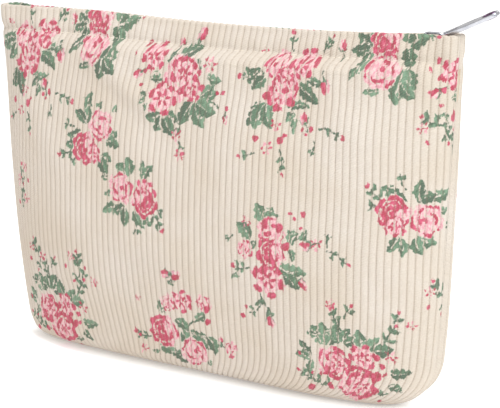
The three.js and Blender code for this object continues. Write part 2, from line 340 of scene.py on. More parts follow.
# ---- soft relief of the padded walls ----
def ripple(s, z, seed, count, short, tall):
    """Sum of a few slanted waves, the same each run. short and tall are wavelengths in mm."""
    rng = np.random.default_rng(seed)
    total = np.zeros(np.shape(s))
    for _ in range(count):
        ws, wz, phase = rng.uniform(0.7, 1.4), rng.uniform(0.7, 1.4), rng.uniform(0, 2 * math.pi)
        slant = rng.uniform(-0.6, 0.6)
        total = total + np.sin(2 * math.pi * (s / (short * ws) + (z + slant * s) / (tall * wz)) + phase)
    return total / count


# Standing folds of the front: both ends over the cloth (s, z), height and half width.
FOLDS = ((-56, 140, -20, 122, 1.9, 6), (-40, 122, -14, 109, -0.9, 8), (-98, 118, -74, 96, 0.9, 9),
         (60, 140, 84, 116, 0.8, 8), (96, 66, 118, 52, 0.8, 8), (-30, 62, 6, 48, 0.6, 12))


def standing_folds(side, s, z):
    """Sum of the long soft ridges and dips, the back's mirrored and lower."""
    total = np.zeros(np.shape(s))
    across = s if side == FRONT else 14 - s
    for s0, z0, s1, z1, height, wide in FOLDS:
        run = (s1 - s0) ** 2 + (z1 - z0) ** 2
        t = np.clip(((across - s0) * (s1 - s0) + (z - z0) * (z1 - z0)) / run, 0, 1)
        far = np.hypot(across - s0 - t * (s1 - s0), z - z0 - t * (z1 - z0))
        total += height * hump(far, 0, wide)
    return total if side == FRONT else 0.6 * total


# Cloth simulation of the padded walls: grid, frames, easing of the cloth at the rim, and cap in mm.
SIM_COLUMNS, SIM_ROWS, SIM_FRAMES = 121, 56, 24
SIM_LOW = 5
SIM_EASE = 0.06
SIM_PRESSURE = 4
SIM_CAP = 2.4


def pinned_cloth(sheet, held, eased):
    """Cloth on sheet: held vertices stay, eased ones are cut longer than the seam they meet."""
    for name, weights in (("held", held), ("eased", eased)):
        group = sheet.vertex_groups.new(name=name)
        for index, weight in enumerate(weights.ravel().tolist()):
            group.add([index], weight, "REPLACE")
    cloth = sheet.modifiers.new("Cloth", "CLOTH")
    settings = cloth.settings
    settings.quality = 6
    settings.mass = 0.15
    settings.tension_stiffness = settings.compression_stiffness = 12
    settings.shear_stiffness = 4
    settings.bending_stiffness = 0.35
    settings.use_pressure = True
    settings.uniform_pressure_force = SIM_PRESSURE
    settings.vertex_group_mass = "held"
    settings.vertex_group_shrink = "eased"
    settings.shrink_min = 0
    settings.shrink_max = -SIM_EASE
    settings.effector_weights.gravity = 0
    cloth.collision_settings.use_collision = False
    cloth.point_cache.frame_end = SIM_FRAMES


def simulated_swell(side):
    """How far one padded wall swells and puckers between its seams, as a grid of mm outward."""
    shares, levels = np.linspace(-1, 1, SIM_COLUMNS), np.linspace(SIM_LOW, STITCH_Z, SIM_ROWS)
    points, _, out = body_grid(side, shares, levels, np.zeros(SIM_ROWS))
    sheet = grid_object("swell", points, flip=side == BACK)
    held = np.zeros((SIM_ROWS, SIM_COLUMNS))
    held[0] = held[-1] = 1
    held[:, 0] = held[:, -1] = 1
    eased = np.repeat(hump(levels, STITCH_Z, 26)[:, None], SIM_COLUMNS, 1)
    pinned_cloth(sheet, held, eased)
    scene = bpy.context.scene
    for frame_number in range(1, SIM_FRAMES + 1):
        scene.frame_set(frame_number)
    shown = sheet.evaluated_get(bpy.context.evaluated_depsgraph_get())
    places = np.zeros(held.size * 3, np.float32)
    shown.data.vertices.foreach_get("co", places)
    moved = ((places.reshape(points.shape) / MM - points) * out).sum(-1)
    scene.frame_set(1)
    bpy.data.objects.remove(sheet, do_unlink=True)
    return SIM_CAP * np.tanh(moved / SIM_CAP)


def grid_read(grid, row, column):
    """Bilinear value of grid at fractional rows and columns."""
    row, column = np.clip(row, 0, grid.shape[0] - 1.001), np.clip(column, 0, grid.shape[1] - 1.001)
    r, c = np.floor(row).astype(int), np.floor(column).astype(int)
    up, along_row = row - r, column - c
    low = grid[r, c] * (1 - along_row) + grid[r, c + 1] * along_row
    high = grid[r + 1, c] * (1 - along_row) + grid[r + 1, c + 1] * along_row
    return low * (1 - up) + high * up


SWELL = {side: simulated_swell(side) for side in (FRONT, BACK)}


def swell(side, s, z):
    """The simulated swelling at cloth places; each row of s runs from seam to seam."""
    row = (z - SIM_LOW) / (STITCH_Z - SIM_LOW) * (SIM_ROWS - 1)
    column = (s / np.abs(s).max(axis=1, keepdims=True) + 1) / 2 * (SIM_COLUMNS - 1)
    inside = smooth(0, 4, z - SIM_LOW) * smooth(0, 0.6, STITCH_Z - z)
    return grid_read(SWELL[side], row, column) * inside


def wall_relief(side, s, z, x):
    """How far the padded wall stands out from the even body, in mm: puffs, puckers and seams."""
    middle = smooth(-62, -18, x) * (1 - smooth(82, 112, x))
    if side == BACK:
        middle = 0.7 * smooth(-95, -50, x) * (1 - smooth(45, 100, x))
    body = smooth(6, 30, z)
    below = smooth(0, 1.5, STITCH_Z - z)
    puff = (0.5 + 1.5 * middle) * hump(z, STITCH_Z - 8, 7) * below
    puff += (2.1 * middle) * hump(z, STITCH_Z - 3.8, 2.9)
    band = 0.45 * hump(z, STITCH_Z + 5.2, 3.4)
    crease = -0.85 * hump(z, STITCH_Z, 1.7)
    pucker = ripple(s, z, 11 + side, 5, 13, 90) * hump(z, STITCH_Z - 3, 9) * (0.95 - 0.3 * middle)
    pucker += 0.35 * ripple(s, z, 23 + side, 4, 7, 60) * hump(z, STITCH_Z - 1.5, 4)
    left = 1 - smooth(-60, 20, s)
    folds = ripple(s, z, 5 + side, 5, 46, 120) * (0.35 + 0.75 * left * hump(z, 118, 38))
    slow = 0.9 * ripple(s, z, 3 + side, 4, 150, 110)
    end = np.minimum(s - s.min(axis=1, keepdims=True), s.max(axis=1, keepdims=True) - s)
    seam = -1.7 * hump(end, 0, 2.4) + 0.7 * hump(end, 6.5, 4.5)
    away = smooth(0, 14, end)
    soft = (puff + pucker + 0.8 * folds + slow + standing_folds(side, s, z) * below) * body * away
    soft = soft + swell(side, s, z)
    return soft + (crease + band) * smooth(0, 8, end) + seam * smooth(3, 12, z)


def bend_with_wall(obj):
    """Bakes obj's placement into its mesh and reads its vertex places; it does not move them."""
    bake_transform(obj)
    count = len(obj.data.vertices)
    places = np.zeros(count * 3, np.float32)
    obj.data.vertices.foreach_get("co", places)


# ---- floral print: signed distances in mm over the cloth, positive inside ----
LAYERS = ("light", "dark", "leaf")
OUTSIDE = -9.0
CLUSTER_REACH = 48
GOLDEN = 0.618034
# Strokes of a bloom: share of its radius, middle angle, span, and half width.
PETAL_CURLS = ((0.9, 2.5, 1.5, 1.5), (0.88, -2.2, 1.2, 1.3), (0.9, 0.2, 0.9, 1.1), (0.55, -0.7, 1.7, 1.2),
               (0.5, 2.3, 1.3, 1.1), (0.7, 1.2, 0.8, 0.9))
PETAL_GAPS = ((0.7, 2.6, 1.8, 0.3), (0.72, -1.6, 1.7, 0.3), (0.34, 0.6, 2.4, 0.26), (0.62, 0.4, 1.1, 0.25))
DARK_GAPS = ((0.5, 2.9, 1.5, 0.24), (0.78, -2.4, 1.2, 0.24), (0.24, -2.6, 1.6, 0.2))


def step(x, y, a, far):
    """The point far mm from (x, y) in the direction a, in radians."""
    return x + far * math.cos(a), y + far * math.sin(a)


class Print:
    """Draws flowers and leaves into distance fields over cloth coordinates s, z."""

    def __init__(self, s, z):
        self.shape = s.shape
        self.s, self.z = s.ravel(), z.ravel()
        self.fields = {k: np.full(self.s.size, OUTSIDE) for k in LAYERS}
        self.tone = np.zeros(self.s.size)
        self.count = 0

    def place(self, s0, z0, turn):
        """Local frame for what is drawn next: origin, and turn in degrees."""
        self.pick = np.flatnonzero(np.hypot(self.s - s0, self.z - z0) < CLUSTER_REACH)
        ds, dz = self.s[self.pick] - s0, self.z[self.pick] - z0
        c, n = math.cos(math.radians(turn)), math.sin(math.radians(turn))
        self.x, self.y = ds * c + dz * n, dz * c - ds * n

    def local(self, x, y, aim, reach):
        """Points near (x, y) and their coordinates along and across the direction aim."""
        near = np.flatnonzero((abs(self.x - x) < reach) & (abs(self.y - y) < reach))
        c, n = math.cos(math.radians(aim)), math.sin(math.radians(aim))
        dx, dy = self.x[near] - x, self.y[near] - y
        return self.pick[near], dx * c + dy * n, dy * c - dx * n

    def chance(self):
        """Next value from 0 to 1 of a fixed, even sequence."""
        self.count += 1
        return (self.count * GOLDEN) % 1

    def ink(self, layer, at, inside):
        self.fields[layer][at] = np.maximum(self.fields[layer][at], inside)

    def bare(self, layer, at, inside):
        self.fields[layer][at] = np.minimum(self.fields[layer][at], -inside)

    def dab(self, layer, x, y, long, wide, aim=0):
        at, u, v = self.local(x, y, aim, long + wide + 2)
        self.ink(layer, at, (1 - np.hypot(u / long, v / wide)) * min(long, wide))

    def stem(self, x, y, aim, length, bend=0.15, half=0.46):
        at, u, v = self.local(x, y, aim, length + 3)
        t = np.clip(u / length, 0, 1)
        curve = bend * length * 4 * t * (1 - t)
        reach = np.maximum(np.maximum(-u, u - length), 0)
        self.ink("leaf", at, half - np.hypot(v - curve, reach))

    def leaf(self, x, y, aim, length, width, vein=True):
        """Pointed leaf from its stalk at x, y, with a pale midrib and one darker half."""
        length, width = 1.06 * length, 1.14 * width
        at, u, v = self.local(x, y, aim, length + 2)
        t = np.clip(u / length, 0, 1)
        bend = (self.chance() - 0.5) * 0.3 * length
        v = v - bend * 4 * t * (1 - t)
        saw = 0.42 * np.sin(u * 2.4) if length > 6 else 0
        half = width / 2 * np.sin(math.pi * t**0.75) ** 0.7 + saw * np.sin(math.pi * t)
        beyond = np.maximum(np.maximum(-u, u - length), 0)
        inside = (half - np.hypot(abs(v), beyond)) * 0.8
        if vein:
            self.bare("leaf", at, inside + 0.42)
            inside = np.minimum(inside, np.where(t < 0.75, abs(v) - 0.3 * (1 - t), 1))
        covered = inside > self.fields["leaf"][at]
        shade = 0.2 + 0.5 * self.chance() + np.where(v > 0, 0.22, -0.22)
        self.tone[at] = np.where(covered & (inside > -1), shade, self.tone[at])
        self.ink("leaf", at, inside)

    def fan(self, x, y, aims, length, width):
        """Leaves that stand out from one place in the directions aims."""
        for aim in aims:
            size = 0.85 + 0.3 * self.chance()
            self.leaf(*step(x, y, math.radians(aim), 1), aim, length * size, width * size)

    def petals(self, x, y, radius, aim):
        """Clears the ground under a bloom and returns its points, outline and polar places."""
        at, u, v = self.local(x, y, aim, radius * 1.4)
        turn, far = np.arctan2(v, u), np.hypot(u, v)
        lobes = 0.08 * np.cos(5 * turn + 0.6) + 0.05 * np.cos(9 * turn + 2)
        outline = radius * (1 + lobes) - far
        for layer in self.fields:
            self.bare(layer, at, outline + 0.25)
        return at, u, v, turn, far / radius, outline

    def arcs(self, far, turn, radius, rings):
        """Curved strokes (share of the radius, middle angle, span, half width in mm) as one field."""
        field = np.full(far.shape, OUTSIDE)
        for ring, middle, span, half in rings:
            wobble = ring + 0.05 * np.sin(3 * turn + ring * 9)
            away = np.abs((turn - middle + math.pi) % (2 * math.pi) - math.pi)
            thin = half * np.clip(1.25 - (2 * away / span) ** 2, -3, 1)
            field = np.maximum(field, thin - np.abs(far - wobble) * radius)
        return field

    def rose(self, x, y, radius, aim=0, shade="light"):
        """Full bloom of curled petals. A dark one keeps its light petals on one side."""
        if shade == "open":
            self.star(x, y, radius, aim)
            return
        at, u, v, turn, far, outline = self.petals(x, y, radius, aim)
        thick = 0.1 * radius
        pale = self.arcs(far, turn, radius, PETAL_GAPS)
        curl = self.arcs(far, turn, radius, [(r, a, s, w * thick) for r, a, s, w in PETAL_CURLS])
        if shade == "dark":
            side = u + 0.25 * radius * np.sin(2.2 * v / radius + 1) - 0.3 * radius
            dark = np.maximum(np.minimum(outline, -side), np.minimum(curl, outline))
            pale = np.maximum(pale, self.arcs(far, turn, radius, DARK_GAPS))
        else:
            heart = 0.17 * radius - np.hypot(u + 0.08 * radius, v - 0.1 * radius)
            dark = np.minimum(np.maximum(curl, heart), outline)
        self.ink("light", at, np.minimum(outline, -pale))
        self.ink("dark", at, np.minimum(dark, -pale))

    def star(self, x, y, radius, aim):
        """Wide-open bloom: six loose petals with dark tips round a speckled heart."""
        self.petals(x, y, 0.8 * radius, aim)
        for k in range(6):
            a = math.radians(aim + 60 * k + 18 * self.chance())
            petal = step(x, y, a, radius * (0.5 + 0.14 * self.chance()))
            tip = step(x, y, a, 0.86 * radius)
            root = step(x, y, a + 0.4, 0.34 * radius)
            across = math.degrees(a)
            self.dab("light", *petal, 0.5 * radius, 0.34 * radius, across)
            self.dab("dark", *tip, 0.18 * radius, 0.32 * radius, across + 16)
            self.dab("dark", *root, 0.24 * radius, 0.11 * radius, across + 23)

    def bud(self, x, y, radius, aim):
        """Half-open bud that points along aim, in a green cup."""
        back = step(x, y, math.radians(aim), -1.1 * radius)
        for hand in (-38, 38):
            self.leaf(*back, aim + hand, 1.3 * radius, 0.5 * radius, False)
        self.stem(*back, aim + 180, 1.2 * radius)
        for shift, layer in ((0.26, "light"), (-0.2, "dark")):
            petal = step(x, y, math.radians(aim + 90), shift * radius)
            self.dab(layer, *petal, 0.85 * radius, 0.42 * radius, aim - 30 * shift)

    def blossom(self, x, y, radius, aim=0):
        """Small flower of separate dark petals with pale ones between."""
        for k in range(6):
            layer = "light" if k % 3 == 1 else "dark"
            petal = step(x, y, math.radians(aim + 60 * k), radius * (0.66 if k % 2 else 0.8))
            self.dab(layer, *petal, radius * 0.34, radius * 0.22, aim + 60 * k)
        self.dab("dark", x, y, radius * 0.16, radius * 0.16)

    def dots(self, spots, layer="dark"):
        for x, y, radius in spots:
            self.dab(layer, x, y, radius * 1.15, radius * 0.9, 50 * x)

    def sprig(self, x, y, aim, length, pairs=2, size=2.6, tips=1):
        """Thin stem with paired leaflets along it and pink specks at its tip."""
        self.stem(x, y, aim, length, 0.1, 0.42)
        a = math.radians(aim)
        for k in range(pairs):
            t = (k + 0.8) / (pairs + 0.3)
            for hand in (-1, 1):
                turned = aim + hand * (42 + 16 * self.chance())
                root = step(x, y, a, t * length)
                self.leaf(*root, turned, size * (1.15 - 0.25 * t), size * 0.46, False)
        for k in range(tips):
            spread = math.radians(aim + 40 * (k - (tips - 1) / 2))
            speck = step(*step(x, y, a, length), spread, 1.6)
            self.dab("dark", *speck, 1.05, 0.75, aim)


def each(draw, *rows):
    for row in rows:
        draw(*row)


def pair_column(p):
    """Dark bloom over a light one, with big leaves down both sides."""
    each(p.fan, (-8, 4, (95, 140, 185, 255), 8, 4.5), (-10, -2, (230,), 6, 3),
         (8, 6, (20, 80, 280), 9, 6.5), (9, -2, (285, 255), 9, 6), (7, -8, (262, 318), 8, 5))
    p.leaf(-1, -12, 190, 7, 3)
    each(p.rose, (-2, 8, 7.2, 30, "dark"), (-1, -4, 7.4, -60))
    p.sprig(14, 9, 10, 6, 1, 2, 1)


def long_spray(p):
    """Five loose blooms, long leaves to the right and trailing sprigs."""
    each(p.fan, (-8, 3, (172, 200, 225), 10, 5), (-7, -8, (235, 250, 290), 11, 5.5))
    each(p.leaf, (8, 0, -36, 12, 5.5), (12, 2, -14, 8, 3), (3, -10, 0, 11, 3.2), (8, -12, 226, 6, 3),
         (8, -14, 268, 6, 2.6))
    each(p.rose, (9, 8, 6.6, 0, "open"), (-4, 7, 5.6, 30), (-1, -6, 6, 80, "open"), (2, 0, 6.8, -40))
    p.star(3, 2, 5.6, 10)
    p.stem(12, 3, -22, 8)
    each(p.bud, (21, -1, 3.2, -80), (12, -14, 2.7, 110))
    p.dots([(-7, -6, 2), (-2, -11, 1.7), (5, -8, 1.9), (16, -18, 1.2), (12, -19, 0.9), (14, -21, 0.8)])
    each(p.sprig, (-12, 1, 178, 8, 2, 2.4, 2), (20, -18, -14, 10, 2, 2.6, 2),
         (18, -23, -100, 6, 1, 2.4, 0))
    each(p.blossom, (-1, -18, 2.6, 20), (-4, -28, 2.8, 60))
    p.dots([(-10, -24, 1.5), (2, -24, 1.6), (4, -22, 1)])
    each(p.sprig, (2, -28, -78, 9, 2, 2.6, 1), (-10, -30, 200, 6, 1, 3, 1), (0, 13, 100, 6, 1, 2.6, 2),
         (15, 13, 62, 6, 2, 3, 1))
    p.bud(24, 16, 2.5, 100)
    p.blossom(-14, 12, 1.8)


def ivy_spray(p):
    """Broad rose among open blooms over fanned leaves, with buds round them and low sprigs."""
    each(p.leaf, (0, 12, 28, 9, 5.5), (0, 11, 150, 5, 3), (-2, 12, 262, 6, 3.5), (-12, 5, -50, 8, 3.2),
         (-14, 2, -10, 6, 2.8))
    p.fan(12, -5, (18, 42, -40), 9, 4)
    each(p.leaf, (16, 5, -12, 8, 3.8), (11, 12, 285, 5, 2))
    each(p.fan, (11, -6, (-122, -62, -20), 11, 6.2), (-5, -14, (186, 242, 350, 302), 8, 5),
         (-13, -8, (150, 205, 260), 4, 2))
    each(p.rose, (-13, 11, 6.2, 10, "open"), (3, 3, 9.4, 200))
    each(p.star, (4, 5, 7.4, 20), (9, -2, 5, 70), (-6, -7, 7, 40))
    p.stem(7, 20, 216, 9)
    each(p.bud, (7, 22, 3.4, 60), (-3, 18, 2, 90), (-21, 3, 2.7, 200), (28, -13, 1.8, -90))
    p.blossom(17, 10, 3.4, 15)
    p.stem(13, -6, -12, 11)
    p.dots([(-20, 16, 1.3), (-23, 12, 0.9), (-19, 9, 1), (-17, 4, 1.2), (-18, -2, 0.9), (12, 6, 1.3),
            (14, 0, 1.5), (10, -4, 1.2)])
    p.dots([(22, -2, 1), (25, -2, 1.1), (28, -8, 1.2)])
    each(p.blossom, (3, -22, 2.7, 40), (6, -30, 2.8, 10))
    each(p.sprig, (4, -14, -95, 8, 1, 2.6, 0), (4, -24, -60, 5, 1, 3, 1))


def rose_pair(p):
    """Light bloom over a dark one, with a column of leaves down the left and low sprigs."""
    each(p.leaf, (-3, 8, 84, 9, 4.6), (-5, 3, 76, 8, 5), (-4, 4, 150, 8, 4.4), (-6, -1, 196, 9, 4),
         (3, 8, 74, 6, 2.6), (11, 9, 60, 4, 2.4))
    each(p.fan, (8, -4, (38, -8), 8, 5), (5, -10, (-20, -62), 8, 4.4))
    p.leaf(-9, -5, 205, 7, 3.4)
    each(p.rose, (5, 3, 6.8, 120), (-4, -8, 7.2, 10, "dark"))
    p.star(1, -10, 4.6, 30)
    each(p.sprig, (-9, -9, 200, 9, 2, 3.4, 2), (-9, -12, 232, 4, 1, 3, 0), (-11, 1, 176, 6, 1, 3, 0))


def arrow_spray(p):
    """Tall bouquet of four blooms with broad leaves low on the right and tendrils below."""
    p.fan(-3, 12, (112, 60, 30), 8, 5)
    each(p.leaf, (-9, 5, 140, 9, 5.5), (-7, 5, 258, 4, 2.2))
    p.fan(10, 4, (75, 98, 55, -80), 6, 3)
    each(p.leaf, (14, 7, 55, 6, 2.6), (3, -5, -6, 14, 5.5), (7, -8, -42, 9, 4.5))
    each(p.rose, (1, 9, 6.4, 90), (-12, 0, 4, 200), (-1, -12, 7.8, 30, "open"), (1, 0, 6.6, 0, "dark"))
    p.dots([(-2, 12, 2), (5, 11, 1.9), (8, 4, 1.9), (-5, -2, 1.8), (-3, -8, 2.2)])
    each(p.blossom, (-11, 12, 2.3), (22, 6, 2.5, 30))
    p.dots([(10, 18, 0.9), (12, 16, 0.8), (16, 18, 1.3), (15, 12, 0.7)])
    each(p.bud, (17, 5, 2.9, 190), (16, -12, 2.6, -40))
    p.stem(5, -7, -30, 10)
    each(p.sprig, (-5, -18, -95, 6, 1, 3.6, 0), (-4, -23, -55, 7, 1, 3, 0), (-5, -23, 222, 8, 1, 3, 0))
    p.bud(-1, -31, 2.7, -85)
    p.dots([(-15, -30, 1.3), (-13, -26, 0.9)])
    p.sprig(-10, -8, 182, 7, 2, 3, 2)
    p.leaf(-15, -12, 205, 5, 2)
    each(p.sprig, (26, 4, -26, 10, 2, 2.6, 1), (27, 6, 85, 5, 1, 2, 0), (-18, 5, 205, 4, 1, 2, 0))


def low_spray(p):
    """Light blossoms over a dark bloom, an arch of leaves and a low rose to the right."""
    p.fan(-11, 6, (86, 40), 6, 2.4)
    each(p.leaf, (-3, 5, -36, 8, 4.5), (0, 0, -48, 7, 5), (5, 0, -6, 9, 3.8), (5, -3, -22, 9, 5.5),
         (14, 0, -68, 9, 5), (8, 7, 34, 7, 3.6), (-13, -10, -8, 9, 5.4), (-6, -12, -22, 11, 4.6),
         (-13, -12, 205, 5, 2))
    each(p.rose, (-6, 12, 4, 100), (2, 14, 5.4, 80, "open"), (14, 15, 4, 60), (-10, -2, 7.8, 0, "dark"),
         (6, -10, 7, -90))
    each(p.bud, (-6, 26, 2.7, 180), (0, 26, 3.2, 0))
    p.leaf(-1, 22, 182, 4, 2.4)
    p.stem(4, 2, 24, 12)
    p.dots([(15, 7, 1.6), (15, 13, 1.6), (26, -8, 1.4), (-26, -4, 1), (-24, -6, 0.8)])
    p.stem(17, -4, -20, 9)
    p.bud(21, -1, 1.5, 90)
    p.rose(26, -4, 3.2, 0)
    p.leaf(14, -12, -62, 3, 2.6)
    p.sprig(-17, -6, 176, 8, 2, 3, 1)
    each(p.blossom, (-22, -13, 2.3), (-23, 12, 1.7))


def garland(p):
    """Dark and open blooms in a sweep under an arch of broad leaves, with trailing sprigs."""
    each(p.fan, (-10, 5, (128, 100, 70), 9, 5.5), (-3, 7, (104, 62, 20), 8, 5))
    each(p.leaf, (-13, 10, 172, 6, 2.4), (5, 6, 96, 8, 5), (6, 5, 38, 9, 5.6), (11, 5, 10, 8, 5))
    p.fan(-17, -1, (128, 178, 262), 7, 3.2)
    each(p.leaf, (17, -4, 4, 9, 4.2), (17, -9, -36, 7, 3.6), (11, -15, 10, 6, 2.6))
    p.rose(-7, -2, 7.4, 150, "dark")
    each(p.star, (-6, -2, 5.4, 20), (6, 2, 6, 0))
    p.rose(4, -11, 8.4, 200, "dark")
    p.star(5, -11, 6.2, 50)
    p.stem(-1, 10, 108, 8)
    p.sprig(-3, 14, 112, 8, 2, 3.4, 2)
    p.blossom(-7, 24, 2.4, 20)
    each(p.sprig, (-1, 19, 60, 5, 1, 3.6, 1), (15, 7, 60, 10, 2, 3.8, 1), (20, 16, 74, 6, 1, 3.4, 1))
    each(p.blossom, (27, 17, 2.4), (18, 3, 2.8, 10))
    p.dots([(12, -6, 2), (14, -1, 1.4), (15, -5, 1), (12, 2, 1.5), (-23, 0, 0.9), (12, -13, 1.4)])
    p.sprig(-6, -13, 164, 17, 4, 3.2, 1)
    p.dots([(-17, -8, 0.8), (-13, -8, 0.7), (-17, -16, 1.8), (-8, -13, 1.6), (14, -19, 1)])


def tiny_sprig(p):
    """Loose flower on a leafy stem, which fills the gaps."""
    p.sprig(0, 0, 120, 8, 2, 4, 1)
    p.blossom(-7, 4, 2.4, 20)
    p.sprig(0, 0, 250, 6, 1, 3, 1)
    p.dots([(-9, -2, 1)])


def edge_sprig(p):
    """Climbing stem of small flowers beside the left seam."""
    each(p.sprig, (0, -8, 84, 9, 2, 3, 1), (1, 2, 98, 9, 2, 3, 1))
    each(p.blossom, (4, -3, 2.6), (-3, 5, 2.8, 20), (3, 12, 2.2, 40))
    p.dots([(-4, -6, 1.2), (6, 6, 1)])


# Cluster, s, z, turn: the front as the photo shows it; the back is the same cloth, cut elsewhere.
FRONT_LAYOUT = [
    (long_spray, -97, 140, 0), (pair_column, -56, 149, 0), (ivy_spray, -8, 133, 0),
    (long_spray, 46, 138, 0), (pair_column, 92, 149, 0), (ivy_spray, 134, 134, 0),
    (rose_pair, -52, 108, 0), (rose_pair, -29, 81, 112), (arrow_spray, 45, 66, 0),
    (rose_pair, 109, 88, -62), (garland, -79, 21, 0), (low_spray, -4, 23, 0),
    (garland, 80, 23, 0), (edge_sprig, -101, 74, 0), (tiny_sprig, -60, 42, -20),
    (tiny_sprig, -88, 44, 0), (tiny_sprig, 123, 52, 10), (tiny_sprig, 118, 124, 40),
]
BACK_LAYOUT = [
    (long_spray, 88, 140, 0), (pair_column, 44, 149, 0), (ivy_spray, -2, 133, 0),
    (long_spray, -58, 138, 0), (pair_column, -104, 149, 0), (rose_pair, 54, 104, 0),
    (rose_pair, 22, 72, 112), (arrow_spray, -44, 66, 0), (rose_pair, -104, 88, -62),
    (garland, 72, 21, 0), (low_spray, -8, 23, 0), (garland, -80, 23, 0),
    (tiny_sprig, 100, 66, 20), (tiny_sprig, -10, 98, -20), (tiny_sprig, 112, 96, 0),
]


def printed(side, s, z):
    """The print's fields over one wall. The back's cloth runs the other way as it is seen."""
    drawing = Print(s if side == FRONT else -s, z)
    for cluster, place_s, place_z, turn in FRONT_LAYOUT if side == FRONT else BACK_LAYOUT:
        drawing.place(place_s if side == FRONT else -place_s, place_z, turn)
        cluster(drawing)
    return drawing


# ---- corduroy walls ----
RIBS = 78
RIB_DEPTH = 0.52
PILE_SHIFT = 0.45
PHASES = (0.0, 0.08, 0.2, 0.4, 0.6, 0.8, 0.92)
PHASE_SINK = (1.0, 0.5, 0.14, 0.0, 0.0, 0.14, 0.5)
WALL_ROWS = 226
ROUND_ROWS = 20
INNER_ROWS = 18
FOLD_TURNS = np.radians((30, 60, 90, 120, 150))


def rib_columns():
    """Every column's share along the wall, and how far it sinks between two ribs, 0 to 1."""
    shares = [2 * (k + p) / RIBS - 1 for k in range(RIBS) for p in PHASES]
    return np.array(shares + [1.0]), np.array(list(PHASE_SINK) * RIBS + [1.0])


def rib_turns(shares):
    """One even value from -1 to 1 for each rib: how its pile lies, up or down."""
    return 2 * ((np.floor((shares + 1) / 2 * RIBS + 1e-6) * GOLDEN) % 1) - 1


def wall_levels():
    """Heights and insets of the rows: up the outside, over the rim, down the inside."""
    arc = np.radians(np.linspace(4, 90, ROUND_ROWS, endpoint=False))
    rounding = BASE_ROUND_Y * (1 - np.cos(arc))
    top = HEIGHT - FOLD_RADIUS
    climb = np.linspace(BASE_ROUND_Y, top, WALL_ROWS)
    fold_z = top + FOLD_RADIUS * np.sin(FOLD_TURNS)
    fold_in = FOLD_RADIUS * (1 - np.cos(FOLD_TURNS))
    descent = np.linspace(top, 2.0, INNER_ROWS)
    levels = np.concatenate([rounding, climb, fold_z, descent])
    outer = ROUND_ROWS + WALL_ROWS
    insets = np.concatenate([np.zeros(outer), fold_in, np.full(INNER_ROWS, FABRIC_THICK)])
    return levels, insets, outer


def wandering(side, shares, levels):
    """Column shares per row: the ribs waver a little, most at the lower left."""
    grid_share, grid_z = np.meshgrid(shares, levels)
    s = grid_share * HALF_GIRTH
    weight = 0.45 + 0.9 * (1 - smooth(-90, 20, s)) * (1 - smooth(20, 110, grid_z))
    shift = ripple(s, grid_z, 41 + side, 4, 130, 60) * weight
    edge = 1 - np.abs(grid_share) ** 6
    return grid_share + shift * edge / HALF_GIRTH


def at_seams(end):
    """Shares of the cloth's thickness and of the ribs' depth left at end mm from a side seam."""
    return np.clip(0.4 + end / 2.2, 0, 1), np.clip(end / 1.5, 0, 1)


def put_print(made, side, s, z, shares, sink, seen):
    """Stores a wall's printed fields, leaf tones and the painted shade of its grooves, with no ink where
    seen is 0.
    """
    drawing = printed(side, s, z + PILE_SHIFT * rib_turns(shares)[None, :])
    for layer, field in drawing.fields.items():
        shown = np.where(seen[:, None] > 0, field.reshape(s.shape), OUTSIDE)
        put_attribute(made, f"print_{layer}", shown.ravel())
    put_attribute(made, "leaf_tone", drawing.tone)
    # painted shade: how deep each column sinks, stored so the material darkens the grooves between the
    # ribs
    put_attribute(made, "groove_shade", (sink[None, :] * seen[:, None] + 0 * s).ravel())
    put_cloth(made, s, z)


def corduroy_wall(name, side, weave):
    """One wall of the outer: up the outside with its ribs, over the rim and down the inside."""
    shares, sink = rib_columns()
    levels, insets, outer_rows = wall_levels()
    wide = wandering(side, shares, levels)
    points, s, _ = body_grid(side, wide, levels, insets)
    taper, shallow = at_seams(from_ends(shares)[None, :] * HALF_GIRTH)
    edge_points, _, out = body_grid(side, wide, levels, np.zeros(len(levels)))
    points = edge_points + (points - edge_points) * taper[..., None]
    z = np.repeat(levels[:, None], len(shares), 1)
    relief = wall_relief(side, s, np.minimum(z, HEIGHT - 1), edge_points[..., 0])
    normals = grid_normals(points, side)
    inside = outer_rows + len(FOLD_TURNS)
    seen = np.ones(len(levels))
    seen[inside:] = np.where(levels[inside:] > STITCH_Z - 2, 0.6, 0)
    grain = 1 + 0.12 * ripple(s, z, 77 + side, 5, 9, 7)
    ribs = -RIB_DEPTH * sink[None, :] * seen[:, None] * grain * shallow
    points = points + out * relief[..., None] + normals * ribs[..., None]
    points[..., 2] = np.maximum(points[..., 2], 0.02)
    made = grid_object(name, settle(points), wrap_rows=True, flip=side == BACK)
    put_print(made, side, s, z, shares, sink, seen)
    cap_columns(made, *s.shape)
    made.data.materials.append(weave)
    return made


def rows_at(side, heights, lift=0.0):
    """Settled points on the outer face at these heights, one row each, lifted off it by lift."""
    shares = np.linspace(-1, 1, 801)
    levels = np.asarray(heights, float)
    points, s, out = body_grid(side, shares, levels, np.zeros(len(levels)))
    z = np.repeat(levels[:, None], len(shares), 1)
    relief = wall_relief(side, s, z, points[..., 0])
    return settle(points + out * (relief + lift)[..., None]), s


# ---- base ----
BASE_HALF = 100
BASE_ROWS = 22


